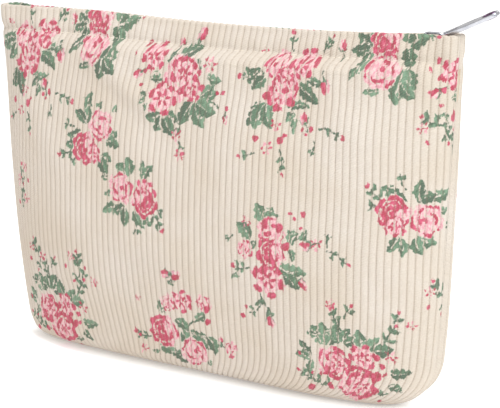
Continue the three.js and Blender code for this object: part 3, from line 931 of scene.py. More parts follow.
def base_panel(weave):
    """Underside between the two walls' lowest rows; the ribs run on across it."""
    shares, sink = rib_columns()
    levels = wall_levels()[0]
    low = levels[0]
    fields = []
    for side in (FRONT, BACK):
        wide = wandering(side, shares, levels)[:1]
        points, s, _ = body_grid(side, wide, [low], [0.0])
        fields.append((points[0], s[0]))
    (front, s), (back, _) = fields
    across = np.linspace(0, 1, BASE_ROWS)[:, None, None]
    skin = front[None] * (1 - across) + back[None] * across
    taper, shallow = at_seams(from_ends(shares) * BASE_HALF)
    skin[..., 2] = RIB_DEPTH * sink * shallow
    skin[0, :, 2] += low
    skin[-1, :, 2] += low
    inner = skin[::-1].copy()
    inner[..., 2] = RIB_DEPTH + 0.1 + 1.4 * taper
    grid = np.concatenate([skin, inner])
    made = grid_object("base_fabric", settle(grid), wrap_rows=True, flip=True)
    unprinted = np.full(grid.shape[:2], OUTSIDE)
    for layer in LAYERS:
        put_attribute(made, f"print_{layer}", unprinted.ravel())
    put_attribute(made, "leaf_tone", 0 * unprinted.ravel())
    # painted shade: the grooves of the ribs are darkened under the bag too
    put_attribute(made, "groove_shade", (sink + 0 * unprinted).ravel())
    put_cloth(made, s, grid[..., 1])
    cap_columns(made, *grid.shape[:2])
    made.data.materials.append(weave)
    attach(made, "root")
    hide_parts("base_outer_panel")
    return made


# ---- layers inside ----
# A wall's inner layers: lowest and highest z, inset from the outside, thickness, depth of folds.
WADDING_LAYER = (5.8, 147.5, 2.7, 1.8, 0.1)
LINING_LAYER = (7.6, 149.6, 5.0, 0.5, 1.1)
LAYER_ROWS, LAYER_COLUMNS = 44, 180
LAYER_HALF = 120


def layer_wall(name, side, cloth, low, high, inset, thick, sag):
    """One inner layer of a wall: a closed sheet with soft folds."""
    shares = np.linspace(-1, 1, LAYER_COLUMNS)
    outer = np.linspace(low, high, LAYER_ROWS)
    levels = np.concatenate([outer, outer[::-1]])
    spread = np.interp(levels, [low, high - 9, high], [1, 1, 0.55])
    face = np.concatenate([np.zeros(LAYER_ROWS), np.full(LAYER_ROWS, thick)])
    depth = 2.4 + (inset - 2.4) * spread
    points, s, out = body_grid(side, shares, levels, depth + face)
    even, _, _ = body_grid(side, shares, levels, depth)
    end = from_ends(shares)[None, :, None] * LAYER_HALF
    points = even + (points - even) * np.clip(end / 1.5, 0, 1) ** 0.5
    z = np.repeat(levels[:, None], LAYER_COLUMNS, 1)
    folds = -np.abs(ripple(s, z, 60 + side, 5, 34, 90)) * sag * smooth(0, 20, end[..., 0])
    folds = folds * smooth(low, low + 20, z) * (1 - smooth(high - 14, high, z))
    made = grid_object(name, settle(points + out * folds[..., None]), wrap_rows=True, flip=side == BACK)
    put_cloth(made, s, z)
    weld(made)
    made.data.materials.append(cloth)
    return made


FLOOR_ROWS, FLOOR_COLUMNS = 30, 150


def floor_layer(name, node, cloth, wave, margin, rise=0.0):
    """Inner layer on the base: a closed sheet that fills the section at its height."""
    low, high = box_mm(node)
    shares = np.linspace(-1, 1, FLOOR_COLUMNS)
    mid = max(low[2], 0.1)
    rings = []
    for side in (FRONT, BACK):
        x, y, _ = section(side, mid, margin, shares)
        rings.append(np.stack([x, y, np.full(len(x), mid)], -1))
    across = np.linspace(0, 1, FLOOR_ROWS)[:, None, None]
    skin = rings[0][None] * (1 - across) + rings[1][None] * across
    x, y = skin[..., 0], skin[..., 1]
    edge = np.minimum(np.minimum(across[..., 0], 1 - across[..., 0]) * 8, 1)
    edge = edge * np.clip(from_ends(shares) * 20, 0, 1)
    swell = wave * (0.6 + 0.4 * ripple(x, y, 91, 4, 40, 30)) * edge
    top, bottom = skin.copy(), skin[::-1].copy()
    thick = high[2] - low[2]
    top[..., 2] = low[2] + thick * 0.5 + (thick * 0.5 + swell) * edge + rise * (1 - edge)
    bottom[..., 2] = low[2] + thick * 0.5 - thick * 0.5 * edge[::-1] + rise * (1 - edge[::-1])
    sheet = np.concatenate([bottom[::-1], top[::-1]])
    made = grid_object(name, settle(sheet), wrap_rows=True, flip=True)
    put_attribute(made, "cloth", sheet.reshape(-1, 3))
    weld(made)
    made.data.materials.append(cloth)
    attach(made, "root")
    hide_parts(node)
    return made


BINDING_STEPS = 60
BINDING_OUTER, BINDING_INNER = 1.2, 0.7
SIDE_BINDING_WIDTH, CORNER_BINDING_WIDTH = 6.4, 5.4


def u_fold(width, radius):
    """One face of a folded strip: along the underside, round the fold and back over the top."""
    bend = [step(0, 0, t, radius) for t in np.radians(np.linspace(-90, 90, 9))]
    return [(-width, -radius)] + bend + [(-width, radius)]


def strip_piece(name, node, path_low, path_high, across, cloth, half_width):
    """Bias binding folded round a raw seam: a thin strip in a U along the seam."""
    steps = np.arange(BINDING_STEPS)
    along_seam = steps[:, None] / (BINDING_STEPS - 1)
    centre = path_low * (1 - along_seam) + path_high * along_seam
    direction = (path_high - path_low) / np.linalg.norm(path_high - path_low)
    thick_way = np.cross(direction, across)
    ring = np.array(u_fold(half_width, BINDING_OUTER) + u_fold(half_width, BINDING_INNER)[::-1])
    wave = (0.22 * np.sin(steps * 1.1) + 0.15 * np.sin(steps * 0.47))[:, None, None]
    grid = centre[:, None, :] + ring[None, :, :1] * across + (ring[None, :, 1:] + wave) * thick_way
    made = grid_object(name, grid, wrap_cols=True, caps=True)
    put_attribute(made, "cloth", grid.reshape(-1, 3)[:, [1, 2, 0]])
    weld(made)
    made.data.materials.append(cloth)
    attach(made, "root")
    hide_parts(node)
    return made


def side_binding(name, side, cloth):
    """Binding up the inside of a side seam, which follows the wall's end."""
    low, high = box_mm(name)
    outer = [side * (along(LENGTH_KEYS, z / HEIGHT) - 8.0) for z in (low[2], high[2])]
    a = settle(np.array([outer[0], 0, low[2]]))
    b = settle(np.array([outer[1], 0, high[2]]))
    across = np.array([-side, 0, 0.0])
    return strip_piece(f"{name}_cloth", name, a, b, across, cloth, SIDE_BINDING_WIDTH)


def corner_binding(name, cloth):
    """Binding across the bottom of the bag, over one boxed corner's seam."""
    low, high = box_mm(name)
    x = (low[0] + high[0]) / 2
    a, b = np.array([x, low[1], high[2] - 1.4]), np.array([x, high[1], high[2] - 1.4])
    across = np.array([0, 0, 1.0])
    return strip_piece(f"{name}_cloth", name, a, b, across, cloth, CORNER_BINDING_WIDTH)


# ---- stitching ----
STITCH_LENGTH = 2.7
STITCH_STEP = 3.25
STITCH_THICK = 0.26


def stitch_line(name, route, thread):
    """Row of separate stitches along a route of points, each dipping into the cloth at its ends."""
    run = np.concatenate([[0], np.cumsum(np.linalg.norm(np.diff(route, axis=0), axis=1))])
    pieces = []
    for start in np.arange(4, run[-1] - 6, STITCH_STEP):
        marks = start + np.linspace(0, STITCH_LENGTH, 7)
        line = np.stack([np.interp(marks, run, route[:, k]) for k in range(3)], -1)
        arch = np.sin(np.linspace(0, math.pi, 7))
        size = STITCH_THICK * (0.45 + 0.55 * arch)
        grid = tube(line, lambda k: round_ring(size[k], size[k], 6))
        pieces.append(grid_object("stitch", grid, wrap_cols=True, caps=True))
    made = join_objects(name, pieces)
    made.data.materials.append(thread)
    return made


def rim_topstitch(side_name, thread):
    """The row of stitches that holds the rim's turned-in band."""
    side = SIDES[side_name]
    rows, _ = rows_at(side, [STITCH_Z - 0.4, STITCH_Z, STITCH_Z + 0.4], -0.24)
    made = stitch_line(f"{side_name}_topstitching", rows[1][24:-24], thread)
    bend_with_wall(made)
    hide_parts(f"{side_name}_rim_topstitch")
    return made


# ---- zip ----
COIL_PITCH = 2.0
COIL_MIDDLE = 0.6
COIL_REACH = 1.35
CORE_Y = 1.5
TAPE_REACH = 117
TAPE_THICK = 0.55
TAPE_SEAM_Z = 154
TAPE_EDGE_Y = 1.9
# The tape's upper face from the coil outward: share of its width, and height over ZIP_Z.
TAPE_PROFILE = ((0, 0), (0.2, 0.12), (0.4, 0.1), (0.6, 0.02), (0.8, -0.05), (0.94, -0.35),
                (1, -1.1), (1, -2.4), (1, -3.8), (1, -5.6))
ZIP_Z = box_mm("front_zip_tape")[1][2] - 0.3
COIL_STEPS = 14
COIL_THREAD = (0.28, 0.22)
CORE_THREAD = (0.42, 0.36)
COIL_LOW, COIL_HIGH = box_mm("back_zip_coil")


def zip_tape(side_name, cloth):
    """Woven tape: flat beside the coil, then turned down and sewn behind the rim band."""
    side = SIDES[side_name]
    shares = np.linspace(-1, 1, 801)
    wall_x, wall_y, _ = section(side, TAPE_SEAM_Z, FABRIC_THICK + 0.5, shares)
    xs = np.linspace(-TAPE_REACH, TAPE_REACH, 235)
    order = np.argsort(wall_x)
    width = np.maximum(np.interp(xs, wall_x[order], np.abs(wall_y)[order]) - TAPE_EDGE_Y, 0.4)
    top, under = [], []
    for t, h in TAPE_PROFILE:
        row = np.stack([xs, side * (TAPE_EDGE_Y + width * t), np.full(len(xs), ZIP_Z + h)], -1)
        turned_down = t > 0.9
        below = row.copy()
        below[:, 2] -= TAPE_THICK * (0.1 if turned_down else 1)
        below[:, 1] -= side * turned_down * np.minimum(TAPE_THICK, width)
        top.append(row)
        under.insert(0, below)
    grid = np.array(top + under)
    made = grid_object(f"{side_name}_tape", settle(grid), wrap_rows=True, flip=side == BACK)
    rows_out = np.arange(len(top))
    put_cloth(made, xs, np.concatenate([rows_out, rows_out[::-1]])[:, None])
    close_ends(made, *grid.shape[:2])
    made.data.materials.append(cloth)
    bend_with_wall(made)
    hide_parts(f"{side_name}_zip_tape")
    return made


def zip_coil(side_name, nylon):
    """Nylon spiral sewn on the tape; its turns reach over the middle between the other side's."""
    side = SIDES[side_name]
    first, last = COIL_LOW[0], COIL_HIGH[0]
    turns = int((last - first) / COIL_PITCH)
    angle = np.linspace(0, 2 * math.pi * turns, turns * COIL_STEPS)
    start = first + (COIL_PITCH / 2 if side == BACK else 0)
    x = start + COIL_PITCH * angle / (2 * math.pi)
    lean = 0.3 * np.sin(angle)
    y = side * (COIL_MIDDLE - COIL_REACH * np.cos(angle))
    z = ZIP_Z + 0.5 * np.sin(angle) + 0.1
    path = settle(np.stack([np.minimum(x + lean, last), y, z], -1))
    spiral = tube(path, lambda k: round_ring(*COIL_THREAD, 7))
    core_x = np.linspace(first, last, 120)
    core = settle(np.stack([core_x, np.full(120, side * CORE_Y), np.full(120, ZIP_Z + 0.1)], -1))
    cord = tube(core, lambda k: round_ring(*CORE_THREAD))
    pieces = [grid_object("turns", grid, wrap_cols=True, caps=True) for grid in (spiral, cord)]
    made = join_objects(f"{side_name}_coil", pieces)
    made.data.materials.append(nylon)
    bend_with_wall(made)
    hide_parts(f"{side_name}_zip_coil")
    return made


def bevelled_box(name, low, high, bevel):
    """Rounded block between two corners."""
    work = bmesh.new()
    bmesh.ops.create_cube(work, size=1)
    low, high = np.array(low, float), np.array(high, float)
    for v in work.verts:
        v.co = Vector((low + (np.array(v.co) + 0.5) * (high - low)) * MM)
    bmesh.ops.bevel(work, geom=work.edges, offset=bevel * MM, segments=3, affect="EDGES", profile=0.5)
    mesh = bpy.data.meshes.new(name)
    work.to_mesh(mesh)
    work.free()
    smooth_faces(mesh)
    return object_from(name, mesh)


def metal_stop(node, body, steel):
    """Crimped metal stop: a rounded clip with a pressed waist, over the CAD's block."""
    low, high = box_mm(node)
    made = bevelled_box(f"{node}_clip", low, high, 0.35)
    for v in made.data.vertices:
        mid = (v.co.z / MM - (low[2] + high[2]) / 2) / ((high[2] - low[2]) / 2)
        centre = (low[1] + high[1]) / 2 * MM
        v.co.y = centre + (v.co.y - centre) * (1 - 0.12 * (1 - mid * mid))
    made.data.materials.append(steel)
    if body == "root":
        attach(made, "root")
    else:
        bend_with_wall(made)
    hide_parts(node)
    return made


# ---- slider and puller ----
def flat_plate(name, outlines, thick, bevel):
    """Plate from closed outlines in its own plane: the first is the edge, the rest are holes."""
    curve = bpy.data.curves.new(name, "CURVE")
    curve.dimensions = "2D"
    curve.fill_mode = "BOTH"
    curve.extrude = (thick / 2 - bevel) * MM
    curve.bevel_depth = bevel * MM
    curve.bevel_resolution = 3
    curve.offset = -bevel * MM
    for points in outlines:
        spline = curve.splines.new("POLY")
        spline.points.add(len(points) - 1)
        for k, (x, y) in enumerate(points):
            spline.points[k].co = (x * MM, y * MM, 0, 1)
        spline.use_cyclic_u = True
    holder = object_from(name + "_curve", curve)
    bpy.context.view_layer.update()
    shown = holder.evaluated_get(bpy.context.evaluated_depsgraph_get())
    mesh = bpy.data.meshes.new_from_object(shown)
    bpy.data.objects.remove(holder)
    mesh.name = name
    return weld(object_from(name, mesh), 1e-6)


def rounded_outline(corners, radius):
    """Closed outline through corners, each one rounded by radius."""
    points = []
    total = len(corners)
    for k in range(total):
        p, q, r = (np.array(corners[(k + d) % total], float) for d in (-1, 0, 1))
        before, after = np.linalg.norm(p - q), np.linalg.norm(r - q)
        cut = min(radius, 0.45 * before, 0.45 * after)
        a, b = q + (p - q) / before * cut, q + (r - q) / after * cut
        for t in np.linspace(0, 1, 5):
            points.append(tuple(a * (1 - t) ** 2 + 2 * q * t * (1 - t) + b * t**2))
    return points


def slider_body(steel):
    """Two shaped plates on a wedge, with turned-in side walls that hold the coils."""
    low, high = box_mm("slider_body")
    mid_x = (low[0] + high[0]) / 2
    half_x, half_y = (high[0] - low[0]) / 2, high[1]
    plan = [(-half_x, -3.3), (-half_x + 4.5, -half_y), (half_x - 1.2, -half_y), (half_x, -3.6),
            (half_x, 3.6), (half_x - 1.2, half_y), (-half_x + 4.5, half_y), (-half_x, 3.3)]
    outline = rounded_outline(plan, 1.6)
    parts = []
    for z in (high[2] - 0.5, low[2] + 0.5):
        plate = flat_plate("plate", [outline], 1.0, 0.28)
        plate.data.transform(Matrix.Translation(Vector((mid_x, 0, z)) * MM))
        parts.append(plate)
    wedge = rounded_outline([(-1.2, 0), (0.9, -0.8), (1.5, 0), (0.9, 0.8)], 0.3)
    post = flat_plate("wedge", [wedge], high[2] - low[2] - 1.2, 0.1)
    post.data.transform(Matrix.Translation(Vector((high[0] - 1.7, 0, (low[2] + high[2]) / 2)) * MM))
    parts.append(post)
    x0, x1 = mid_x - half_x + 3.6, mid_x + half_x - 4.2
    for hand in (-1, 1):
        y0, y1 = sorted((hand * (half_y - 0.85), hand * half_y))
        for z in (high[2] - 1.75, low[2] + 0.15):
            parts.append(bevelled_box("wall", (x0, y0, z), (x1, y1, z + 1.6), 0.3))
    made = join_objects("slider_shell", parts)
    made.data.materials.append(steel)
    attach(made, "slider")
    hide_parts("slider_body")


def slider_bail(steel):
    """Arched bridge over the slider's plate, thinner in the middle than at its feet."""
    low, high = box_mm("slider_bail")
    mid = (low[0] + high[0]) / 2
    half = (high[0] - low[0]) / 2 - 0.5
    rise = high[2] - 0.5 - low[2]
    turn = np.linspace(math.pi, 0, 33)
    x = mid + half * np.sign(np.cos(turn)) * np.abs(np.cos(turn)) ** 0.45
    z = low[2] - 0.3 + (rise + 0.3) * np.abs(np.sin(turn)) ** 0.5
    path = np.stack([x, 0 * x, z], -1)
    wide = 0.9 + 0.35 * np.abs(np.cos(turn)) ** 2
    bridge = tube(path, lambda k: round_ring(wide[k], 0.5, 12))
    made = grid_object("slider_bridge", bridge, wrap_cols=True, caps=True)
    made.data.materials.append(steel)
    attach(made, "slider")
    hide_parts("slider_bail")


PULLER_PIVOT = Vector((110, 0, 158.1))
PULLER_LENGTH = 28.5
PULLER_TILT = 24
PULLER_ROLL = 14
EYELET = (2.6, 1.5)


def ellipse(x, grow=0.0):
    """The eyelet's outline round x on the puller's own axis, made larger by grow."""
    turn = np.linspace(0, 2 * math.pi, 36, endpoint=False)
    return [(x + (EYELET[0] + grow) * math.cos(t), (EYELET[1] + grow) * math.sin(t)) for t in turn]


def eyelet_rim(x, thick):
    """Raised rings round the eyelet at x on the puller's two faces, and the sleeve through it."""
    rims = []
    for face in (-1, 1):
        ring = [(px, py, face * (thick / 2 + 0.02)) for px, py in ellipse(x, 0.1)]
        grid = tube(ring, lambda k: round_ring(0.38, 0.32), closed=True)
        rims.append(grid_object("rim", grid, wrap_rows=True, wrap_cols=True))
    lining = np.array(ellipse(x, -0.02))
    levels = (-thick / 2, 0, thick / 2)
    rows = [np.column_stack([lining, np.full(len(lining), h)]) for h in levels]
    rims.append(grid_object("rim", np.array(rows), wrap_cols=True))
    return join_objects("puller_eyelet", rims)


def zip_puller(steel, dark_rim):
    """Flat bar with a long eye for the bridge and an oval eyelet with a raised rim at its tip."""
    tip, neck, thick = 2.9, 3.0, 1.6
    centre = PULLER_LENGTH - tip
    arc = [step(centre, 0, t, tip) for t in np.linspace(-1.45, 1.45, 15)]
    lower = [(-0.8, -neck + 0.8), (0, -neck), (6, -neck), (9, -3.05), (11, -3.4), (13, -3.7),
             (16, -3.66), (20, -3.4)]
    upper = [(x, -y) for x, y in reversed(lower)]
    eye = rounded_outline([(0.8, -1.6), (9.4, -1.6), (9.4, 1.6), (0.8, 1.6)], 1.1)
    hole = centre - 1.2
    bar = flat_plate("puller_bar", [lower + arc + upper, eye, ellipse(hole)], thick, 0.3)
    eyelet = eyelet_rim(hole, thick)
    tilt = Matrix.Rotation(math.radians(-PULLER_TILT), 4, "Y")
    roll = Matrix.Rotation(math.radians(PULLER_ROLL), 4, "X")
    place = Matrix.Translation(PULLER_PIVOT * MM) @ tilt @ roll
    for piece, finish in ((bar, steel), (eyelet, dark_rim)):
        piece.data.transform(place)
        piece.data.materials.append(finish)
        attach(piece, "puller")
    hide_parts("zip_puller")


# ---- materials ----
def srgb(*values):
    """Linear colour from 0-255 display values."""
    return tuple(((v / 255 + 0.055) / 1.055) ** 2.4 if v > 10 else v / 3295 for v in values) + (1,)


class Shader:
    """Small builder of node materials."""

    def __init__(self, name, **settings):
        self.material = bpy.data.materials.new(name)
        self.material.use_nodes = True
        self.tree = self.material.node_tree
        self.surface = self.tree.nodes["Principled BSDF"]
        for socket, value in settings.items():
            self.surface.inputs[socket.replace("_", " ")].default_value = value

    def node(self, kind, inputs=(), **settings):
        made = self.tree.nodes.new("ShaderNode" + kind)
        for key, value in settings.items():
            setattr(made, key, value)
        for socket, value in dict(inputs).items():
            self.feed(made.inputs[socket], value)
        return made

    def feed(self, socket, value):
        if isinstance(value, bpy.types.NodeSocket):
            self.tree.links.new(value, socket)
        else:
            socket.default_value = value

    def attribute(self, name):
        made = self.node("Attribute", attribute_name=name)
        return made.outputs["Vector" if name == "cloth" else "Fac"]

    def noise(self, place, scale, detail=3, roughness=0.5, stretch=None):
        """Cloudy texture from 0 to 1, its place scaled by stretch along each axis."""
        if stretch:
            place = self.node("Mapping", {"Vector": place, "Scale": stretch}).outputs[0]
        inputs = {"Vector": place, "Scale": scale, "Detail": detail, "Roughness": roughness}
        return self.node("TexNoise", inputs).outputs["Fac"]

    def waves(self, place, scale, turn, distortion=0.6):
        """Bands from 0 to 1 across the direction turned by turn degrees."""
        mapped = {"Vector": place, "Rotation": (0, 0, math.radians(turn))}
        inputs = {"Vector": self.node("Mapping", mapped).outputs[0], "Scale": scale,
                  "Distortion": distortion, "Detail": 1}
        return self.node("TexWave", inputs).outputs["Fac"]

    def math(self, operation, a, b):
        return self.node("Math", {0: a, 1: b}, operation=operation).outputs[0]

    def add(self, a, b):
        return self.math("ADD", a, b)

    def times(self, a, b):
        return self.math("MULTIPLY", a, b)

    def centred(self, value, strength):
        """A 0 to 1 texture moved to lie round 0, times strength."""
        return self.times(self.math("SUBTRACT", value, 0.5), strength)

    def span(self, value, low, high, to_low=0.0, to_high=1.0):
        """Value carried from low..high to to_low..to_high, and held there beyond."""
        limits = {"From Min": low, "From Max": high, "To Min": to_low, "To Max": to_high}
        return self.node("MapRange", {"Value": value, **limits}).outputs[0]

    def mix(self, share, a, b, blend="MIX"):
        made = self.node("Mix", data_type="RGBA", blend_type=blend)
        self.feed(made.inputs[0], share)
        self.feed(made.inputs[6], a)
        self.feed(made.inputs[7], b)
        return made.outputs[2]

    def finish(self, colour, roughness, height, distance, strength):
        """Feeds the surface: colour, roughness, and a bump of distance mm, and returns the material."""
        self.feed(self.surface.inputs["Base Color"], colour)
        self.feed(self.surface.inputs["Roughness"], roughness)
        bump = self.node("Bump", {"Height": height, "Distance": distance * MM, "Strength": strength})
        self.feed(self.surface.inputs["Normal"], bump.outputs[0])
        return self.material


CREAM = srgb(213, 203, 193)
CREAM_WARM = srgb(205, 192, 177)
# tone of the pile, and the painted shade that darkens the grooves between the ribs
PILE_AND_GROOVE_SHADE = srgb(176, 158, 138)
PALE_PINK = srgb(224, 184, 186)
LIGHT_PINK = srgb(214, 142, 156)
ROSE_PINK = srgb(196, 70, 104)
DARK_PINK = srgb(168, 20, 62)
LEAF_DARK = srgb(40, 78, 56)
LEAF_MID = srgb(66, 106, 78)
LEAF_PALE = srgb(104, 140, 112)


def corduroy_material():
    """Cotton corduroy: mottled pile, flowers printed with bare blots, and painted shade darkening the
    grooves, dotted by the rungs.
    """
    sh = Shader("printed_corduroy", Sheen_Weight=0.12, Sheen_Roughness=0.45, Specular_IOR_Level=0.15)
    place = sh.attribute("cloth")
    broad = sh.noise(place, 0.03, 3)
    mottled = sh.noise(place, 0.35, 4)
    blot = sh.noise(place, 0.8, 2, 0.6, (1.1, 0.6, 1))
    pile = sh.noise(place, 2.6, 3, 0.6, (1, 0.45, 1))
    fuzz = sh.noise(place, 6.5, 2, 0.7)
    ground = sh.mix(sh.span(broad, 0.35, 0.65), CREAM, CREAM_WARM)
    ground = sh.mix(sh.span(mottled, 0.3, 0.75, 0.0, 0.35), ground, CREAM_WARM)
    ground = sh.mix(sh.span(pile, 0.35, 0.65, 0.0, 0.3), ground, PILE_AND_GROOVE_SHADE)

    def mask(name, core, blots, ragged, strength):
        """Inked share: the drawn shape with ragged edges, and bare blots where core is small."""
        inside = sh.math("MINIMUM", sh.attribute("print_" + name), core)
        gaps = sh.centred(blot, blots)
        edge = sh.centred(pile, ragged)
        return sh.times(sh.span(sh.add(inside, sh.add(gaps, edge)), -0.12, 0.16), strength)

    light = sh.mix(sh.span(blot, 0.46, 0.56), PALE_PINK, LIGHT_PINK)
    worn = sh.noise(place, 0.6, 2, 0.6, (1.2, 0.5, 1))
    dark = sh.mix(sh.span(worn, 0.44, 0.6), DARK_PINK, ROSE_PINK)
    tone = sh.add(sh.attribute("leaf_tone"), sh.centred(blot, 1.6))
    leaf = sh.mix(sh.span(tone, 0.2, 0.5), LEAF_DARK, LEAF_MID)
    leaf = sh.mix(sh.span(tone, 0.6, 0.95), leaf, LEAF_PALE)
    colour = sh.mix(mask("leaf", 0.8, 2.0, 0.8, 0.94), ground, leaf)
    colour = sh.mix(mask("light", 0.42, 3.0, 1.2, 0.88), colour, light)
    colour = sh.mix(mask("dark", 1.5, 1.7, 1.2, 0.95), colour, dark)
    rung = sh.waves(place, 0.34, 62, 2.0)
    # painted shade: the grooves between the ribs are darkened in dotted lines, where shade falls in them
    groove_shade = sh.span(sh.attribute("groove_shade"), 0.18, 0.9)
    dotted = sh.add(0.16, sh.times(rung, 0.46))
    colour = sh.mix(sh.times(groove_shade, dotted), colour, sh.mix(0.6, PILE_AND_GROOVE_SHADE, colour, "MULTIPLY"))
    colour = sh.mix(sh.span(rung, 0.2, 0.9, 0.12, 0.0), colour, PILE_AND_GROOVE_SHADE)
    colour = sh.mix(sh.span(fuzz, 0.3, 0.7, 0.0, 0.06), colour, (1, 1, 1, 1))
    rough_pile = sh.add(sh.times(pile, 0.8), sh.times(fuzz, 0.35))
    height = sh.add(sh.times(rung, 0.5), rough_pile)
    return sh.finish(colour, sh.span(fuzz, 0.3, 0.7, 0.82, 0.98), height, 0.35, 0.7)


def woven_material(name, base, shade, scale, sheen, depth=0.15):
    """Plain-woven cloth: crossed yarns, slubs and slight colour change."""
    sh = Shader(name, Sheen_Weight=sheen, Specular_IOR_Level=0.25)
    place = sh.attribute("cloth")
    warp, weft = sh.waves(place, scale, 0, 1.2), sh.waves(place, scale, 90, 1.2)
    slub = sh.noise(place, 0.5, 3, 0.6, (1, 0.2, 1))
    yarn = sh.math("MAXIMUM", warp, weft)
    colour = sh.mix(sh.span(slub, 0.3, 0.7), base, shade)
    colour = sh.mix(sh.span(yarn, 0.4, 1.0, 0.35, 0.0), colour, shade)
    height = sh.add(yarn, sh.times(slub, 0.6))
    return sh.finish(colour, sh.span(slub, 0.3, 0.7, 0.75, 0.92), height, depth, 0.8)


def wadding_material():
    """Needled polyester fleece: matt, fibrous and slightly cloudy."""
    sh = Shader("polyester_wadding", Sheen_Weight=0.4, Specular_IOR_Level=0.2)
    place = sh.attribute("cloth")
    fibre = sh.noise(place, 1.6, 6, 0.7, (1, 0.5, 1))
    cloud = sh.noise(place, 0.12, 3)
    colour = sh.mix(sh.span(cloud, 0.35, 0.65), srgb(248, 246, 240), srgb(236, 232, 222))
    return sh.finish(colour, sh.span(fibre, 0.3, 0.7, 0.9, 1.0), fibre, 0.6, 0.9)


def object_place(sh):
    """Object coordinates in millimetres."""
    coordinates = sh.node("TexCoord").outputs["Object"]
    return sh.node("VectorMath", {0: coordinates, "Scale": 1 / MM}, operation="SCALE").outputs[0]


def thread_material():
    """Twisted sewing thread."""
    sh = Shader("sewing_thread", Sheen_Weight=0.2)
    place = object_place(sh)
    twist = sh.waves(place, 1.3, 35, 0.4)
    tint = sh.noise(place, 0.2, 2)
    colour = sh.mix(tint, srgb(240, 229, 211), srgb(226, 211, 189))
    return sh.finish(colour, sh.span(twist, 0.0, 1.0, 0.55, 0.75), twist, 0.12, 0.8)


def nylon_material():
    """Moulded nylon spiral, faintly translucent and worn dull on its crowns."""
    sh = Shader("nylon_coil", Specular_IOR_Level=0.5, Coat_Weight=0.1)
    place = object_place(sh)
    cloud = sh.noise(place, 0.6, 3)
    scuff = sh.noise(place, 5.0, 3, 0.7)
    colour = sh.mix(sh.span(cloud, 0.3, 0.7), srgb(214, 196, 170), srgb(196, 175, 146))
    return sh.finish(colour, sh.span(scuff, 0.3, 0.7, 0.28, 0.5), scuff, 0.05, 0.5)


def metal_material(name, base, worn, low, high):
    """Plated zinc alloy with hairline scratches and duller, rubbed patches."""
    sh = Shader(name, Metallic=1.0)
    place = object_place(sh)
    hair = sh.noise(place, 3.0, 4, 0.65, (0.15, 2.5, 1))
    rub = sh.noise(place, 0.35, 3)
    colour = sh.mix(sh.span(rub, 0.35, 0.7), base, worn)
    rough = sh.add(sh.span(hair, 0.3, 0.7, low, high), sh.span(rub, 0.4, 0.7, 0.0, 0.08))
    return sh.finish(colour, rough, hair, 0.02, 0.35)


# ---- stage ----
CAMERA_YAW = 33.5
CAMERA_PITCH = 12.63
CAMERA_DISTANCE = 723
CAMERA_LENS = 115.9
CAMERA_AIM = Vector((0, 0, 78))
CAMERA_ASIDE = 16.08
CAMERA_LOWER = 1.84
FLOOR_HALF = 4000
FLOOR_Z = -0.1


def add_camera():
    """The photo's view: from the front left, a little above the rim."""
    yaw, pitch = math.radians(CAMERA_YAW), math.radians(CAMERA_PITCH)
    right = Vector((math.cos(yaw), math.sin(yaw), 0))
    ahead = Vector((-math.sin(yaw) * math.cos(pitch), math.cos(yaw) * math.cos(pitch), -math.sin(pitch)))
    up = right.cross(ahead)
    data = bpy.data.cameras.new("camera")
    data.lens = CAMERA_LENS
    data.sensor_width = 36
    camera = object_from("camera", data)
    place = CAMERA_AIM + right * CAMERA_ASIDE - up * CAMERA_LOWER - ahead * CAMERA_DISTANCE
    axes = Matrix((right, up, -ahead)).transposed()
    camera.matrix_world = Matrix.Translation(place * MM) @ axes.to_4x4()
    data.clip_start, data.clip_end = 0.01, 20
    bpy.context.scene.camera = camera


def add_light(name, place, size, power, colour=(1, 1, 1)):
    data = bpy.data.lights.new(name, "AREA")
    data.shape = "DISK"
    data.size = size
    data.energy = power
    data.color = colour
    light = object_from(name, data)
    light.location = place
    light.rotation_euler = (Vector((0, 0, 0.08)) - Vector(place)).to_track_quat("-Z", "Y").to_euler()


def add_floor():
    """White paper under the bag, which glows faintly so that it stays as white as the photo's ground."""
    edges = (-FLOOR_HALF, FLOOR_HALF)
    floor = grid_object("floor", np.array([[(x, y, FLOOR_Z) for x in edges] for y in edges]))
    paper = Shader("floor_paper", Specular_IOR_Level=0.1)
    grain = paper.noise(object_place(paper), 0.02, 3)
    tint = paper.mix(grain, (0.93, 0.925, 0.915, 1), (0.95, 0.945, 0.94, 1))
    paper.surface.inputs["Emission Color"].default_value = (1, 1, 1, 1)
    paper.surface.inputs["Emission Strength"].default_value = 0.24
    floor.data.materials.append(paper.finish(tint, paper.span(grain, 0, 1, 0.9, 1.0), grain, 0.1, 0.1))


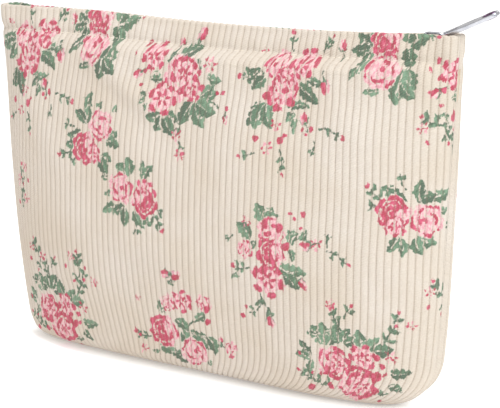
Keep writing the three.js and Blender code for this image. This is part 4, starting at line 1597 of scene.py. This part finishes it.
def add_studio():
    """Even sky and four soft lights, the brightest from the right."""
    world = bpy.data.worlds.new("studio")
    world.use_nodes = True
    sky = world.node_tree.nodes["Background"]
    sky.inputs["Color"].default_value = (1, 0.995, 0.985, 1)
    sky.inputs["Strength"].default_value = 0.72
    bpy.context.scene.world = world
    add_light("key", (1.25, -0.6, 0.9), 0.8, 14, (0.86, 0.95, 1))
    add_light("front_fill", (-1.2, -1.4, 0.7), 1.4, 1.5, (1, 0.97, 0.93))
    add_light("top", (0.0, -0.2, 1.2), 0.4, 6)
    add_light("back", (0.2, 1.4, 1.2), 1.0, 8)
    bpy.context.scene.view_settings.view_transform = "Standard"


# ---- assembly ----
def add_walls(weave, lining, wadding):
    """Outer, wadding and lining of each wall."""
    for side_name, side in SIDES.items():
        wall = corduroy_wall(f"{side_name}_fabric", side, weave)
        bend_with_wall(wall)
        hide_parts(f"{side_name}_outer_panel")
        pad = layer_wall(f"{side_name}_padding", side, wadding, *WADDING_LAYER)
        bend_with_wall(pad)
        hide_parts(f"{side_name}_wadding")
        inner = layer_wall(f"{side_name}_lining_cloth", side, lining, *LINING_LAYER)
        bend_with_wall(inner)
        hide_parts(f"{side_name}_lining")


def add_base(weave, lining, wadding):
    """Outer, wadding and lining under the bag."""
    skin = base_panel(weave)
    pad = floor_layer("base_padding", "base_wadding", wadding, 0.1, 5.2)
    cloth = floor_layer("base_lining_cloth", "base_lining", lining, 0.5, 5.6, 0.6)


def add_zip(tape, nylon, steel, dark_rim):
    for side_name in SIDES:
        zip_tape(side_name, tape)
        zip_coil(side_name, nylon)
        metal_stop(f"{side_name}_top_stop", side_name, steel)
    metal_stop("zip_bottom_stop", "root", steel)
    slider_body(steel)
    slider_bail(steel)
    zip_puller(steel, dark_rim)


def build():
    weave = corduroy_material()
    lining = woven_material("cotton_lining", srgb(217, 199, 174), srgb(198, 178, 151), 0.9, 0.15)
    tape = woven_material("zip_tape_weave", srgb(205, 184, 156), srgb(178, 156, 128), 0.7, 0.1)
    wadding = wadding_material()
    thread = thread_material()
    steel = metal_material("nickel_plate", srgb(196, 196, 201), srgb(172, 173, 180), 0.14, 0.28)
    # The eyelet's rings are coloured dark plum.
    dark_rim = metal_material("dark_plum_eyelet", srgb(92, 70, 92), srgb(120, 96, 118), 0.2, 0.36)
    add_walls(weave, lining, wadding)
    add_base(weave, lining, wadding)
    for side_name, side in (("left", -1), ("right", 1)):
        side_binding(f"{side_name}_side_binding", side, lining)
        corner_binding(f"{side_name}_corner_binding", lining)
    for side_name in SIDES:
        rim_topstitch(side_name, thread)
    add_zip(tape, nylon_material(), steel, dark_rim)


add_camera()
add_floor()
add_studio()
build()
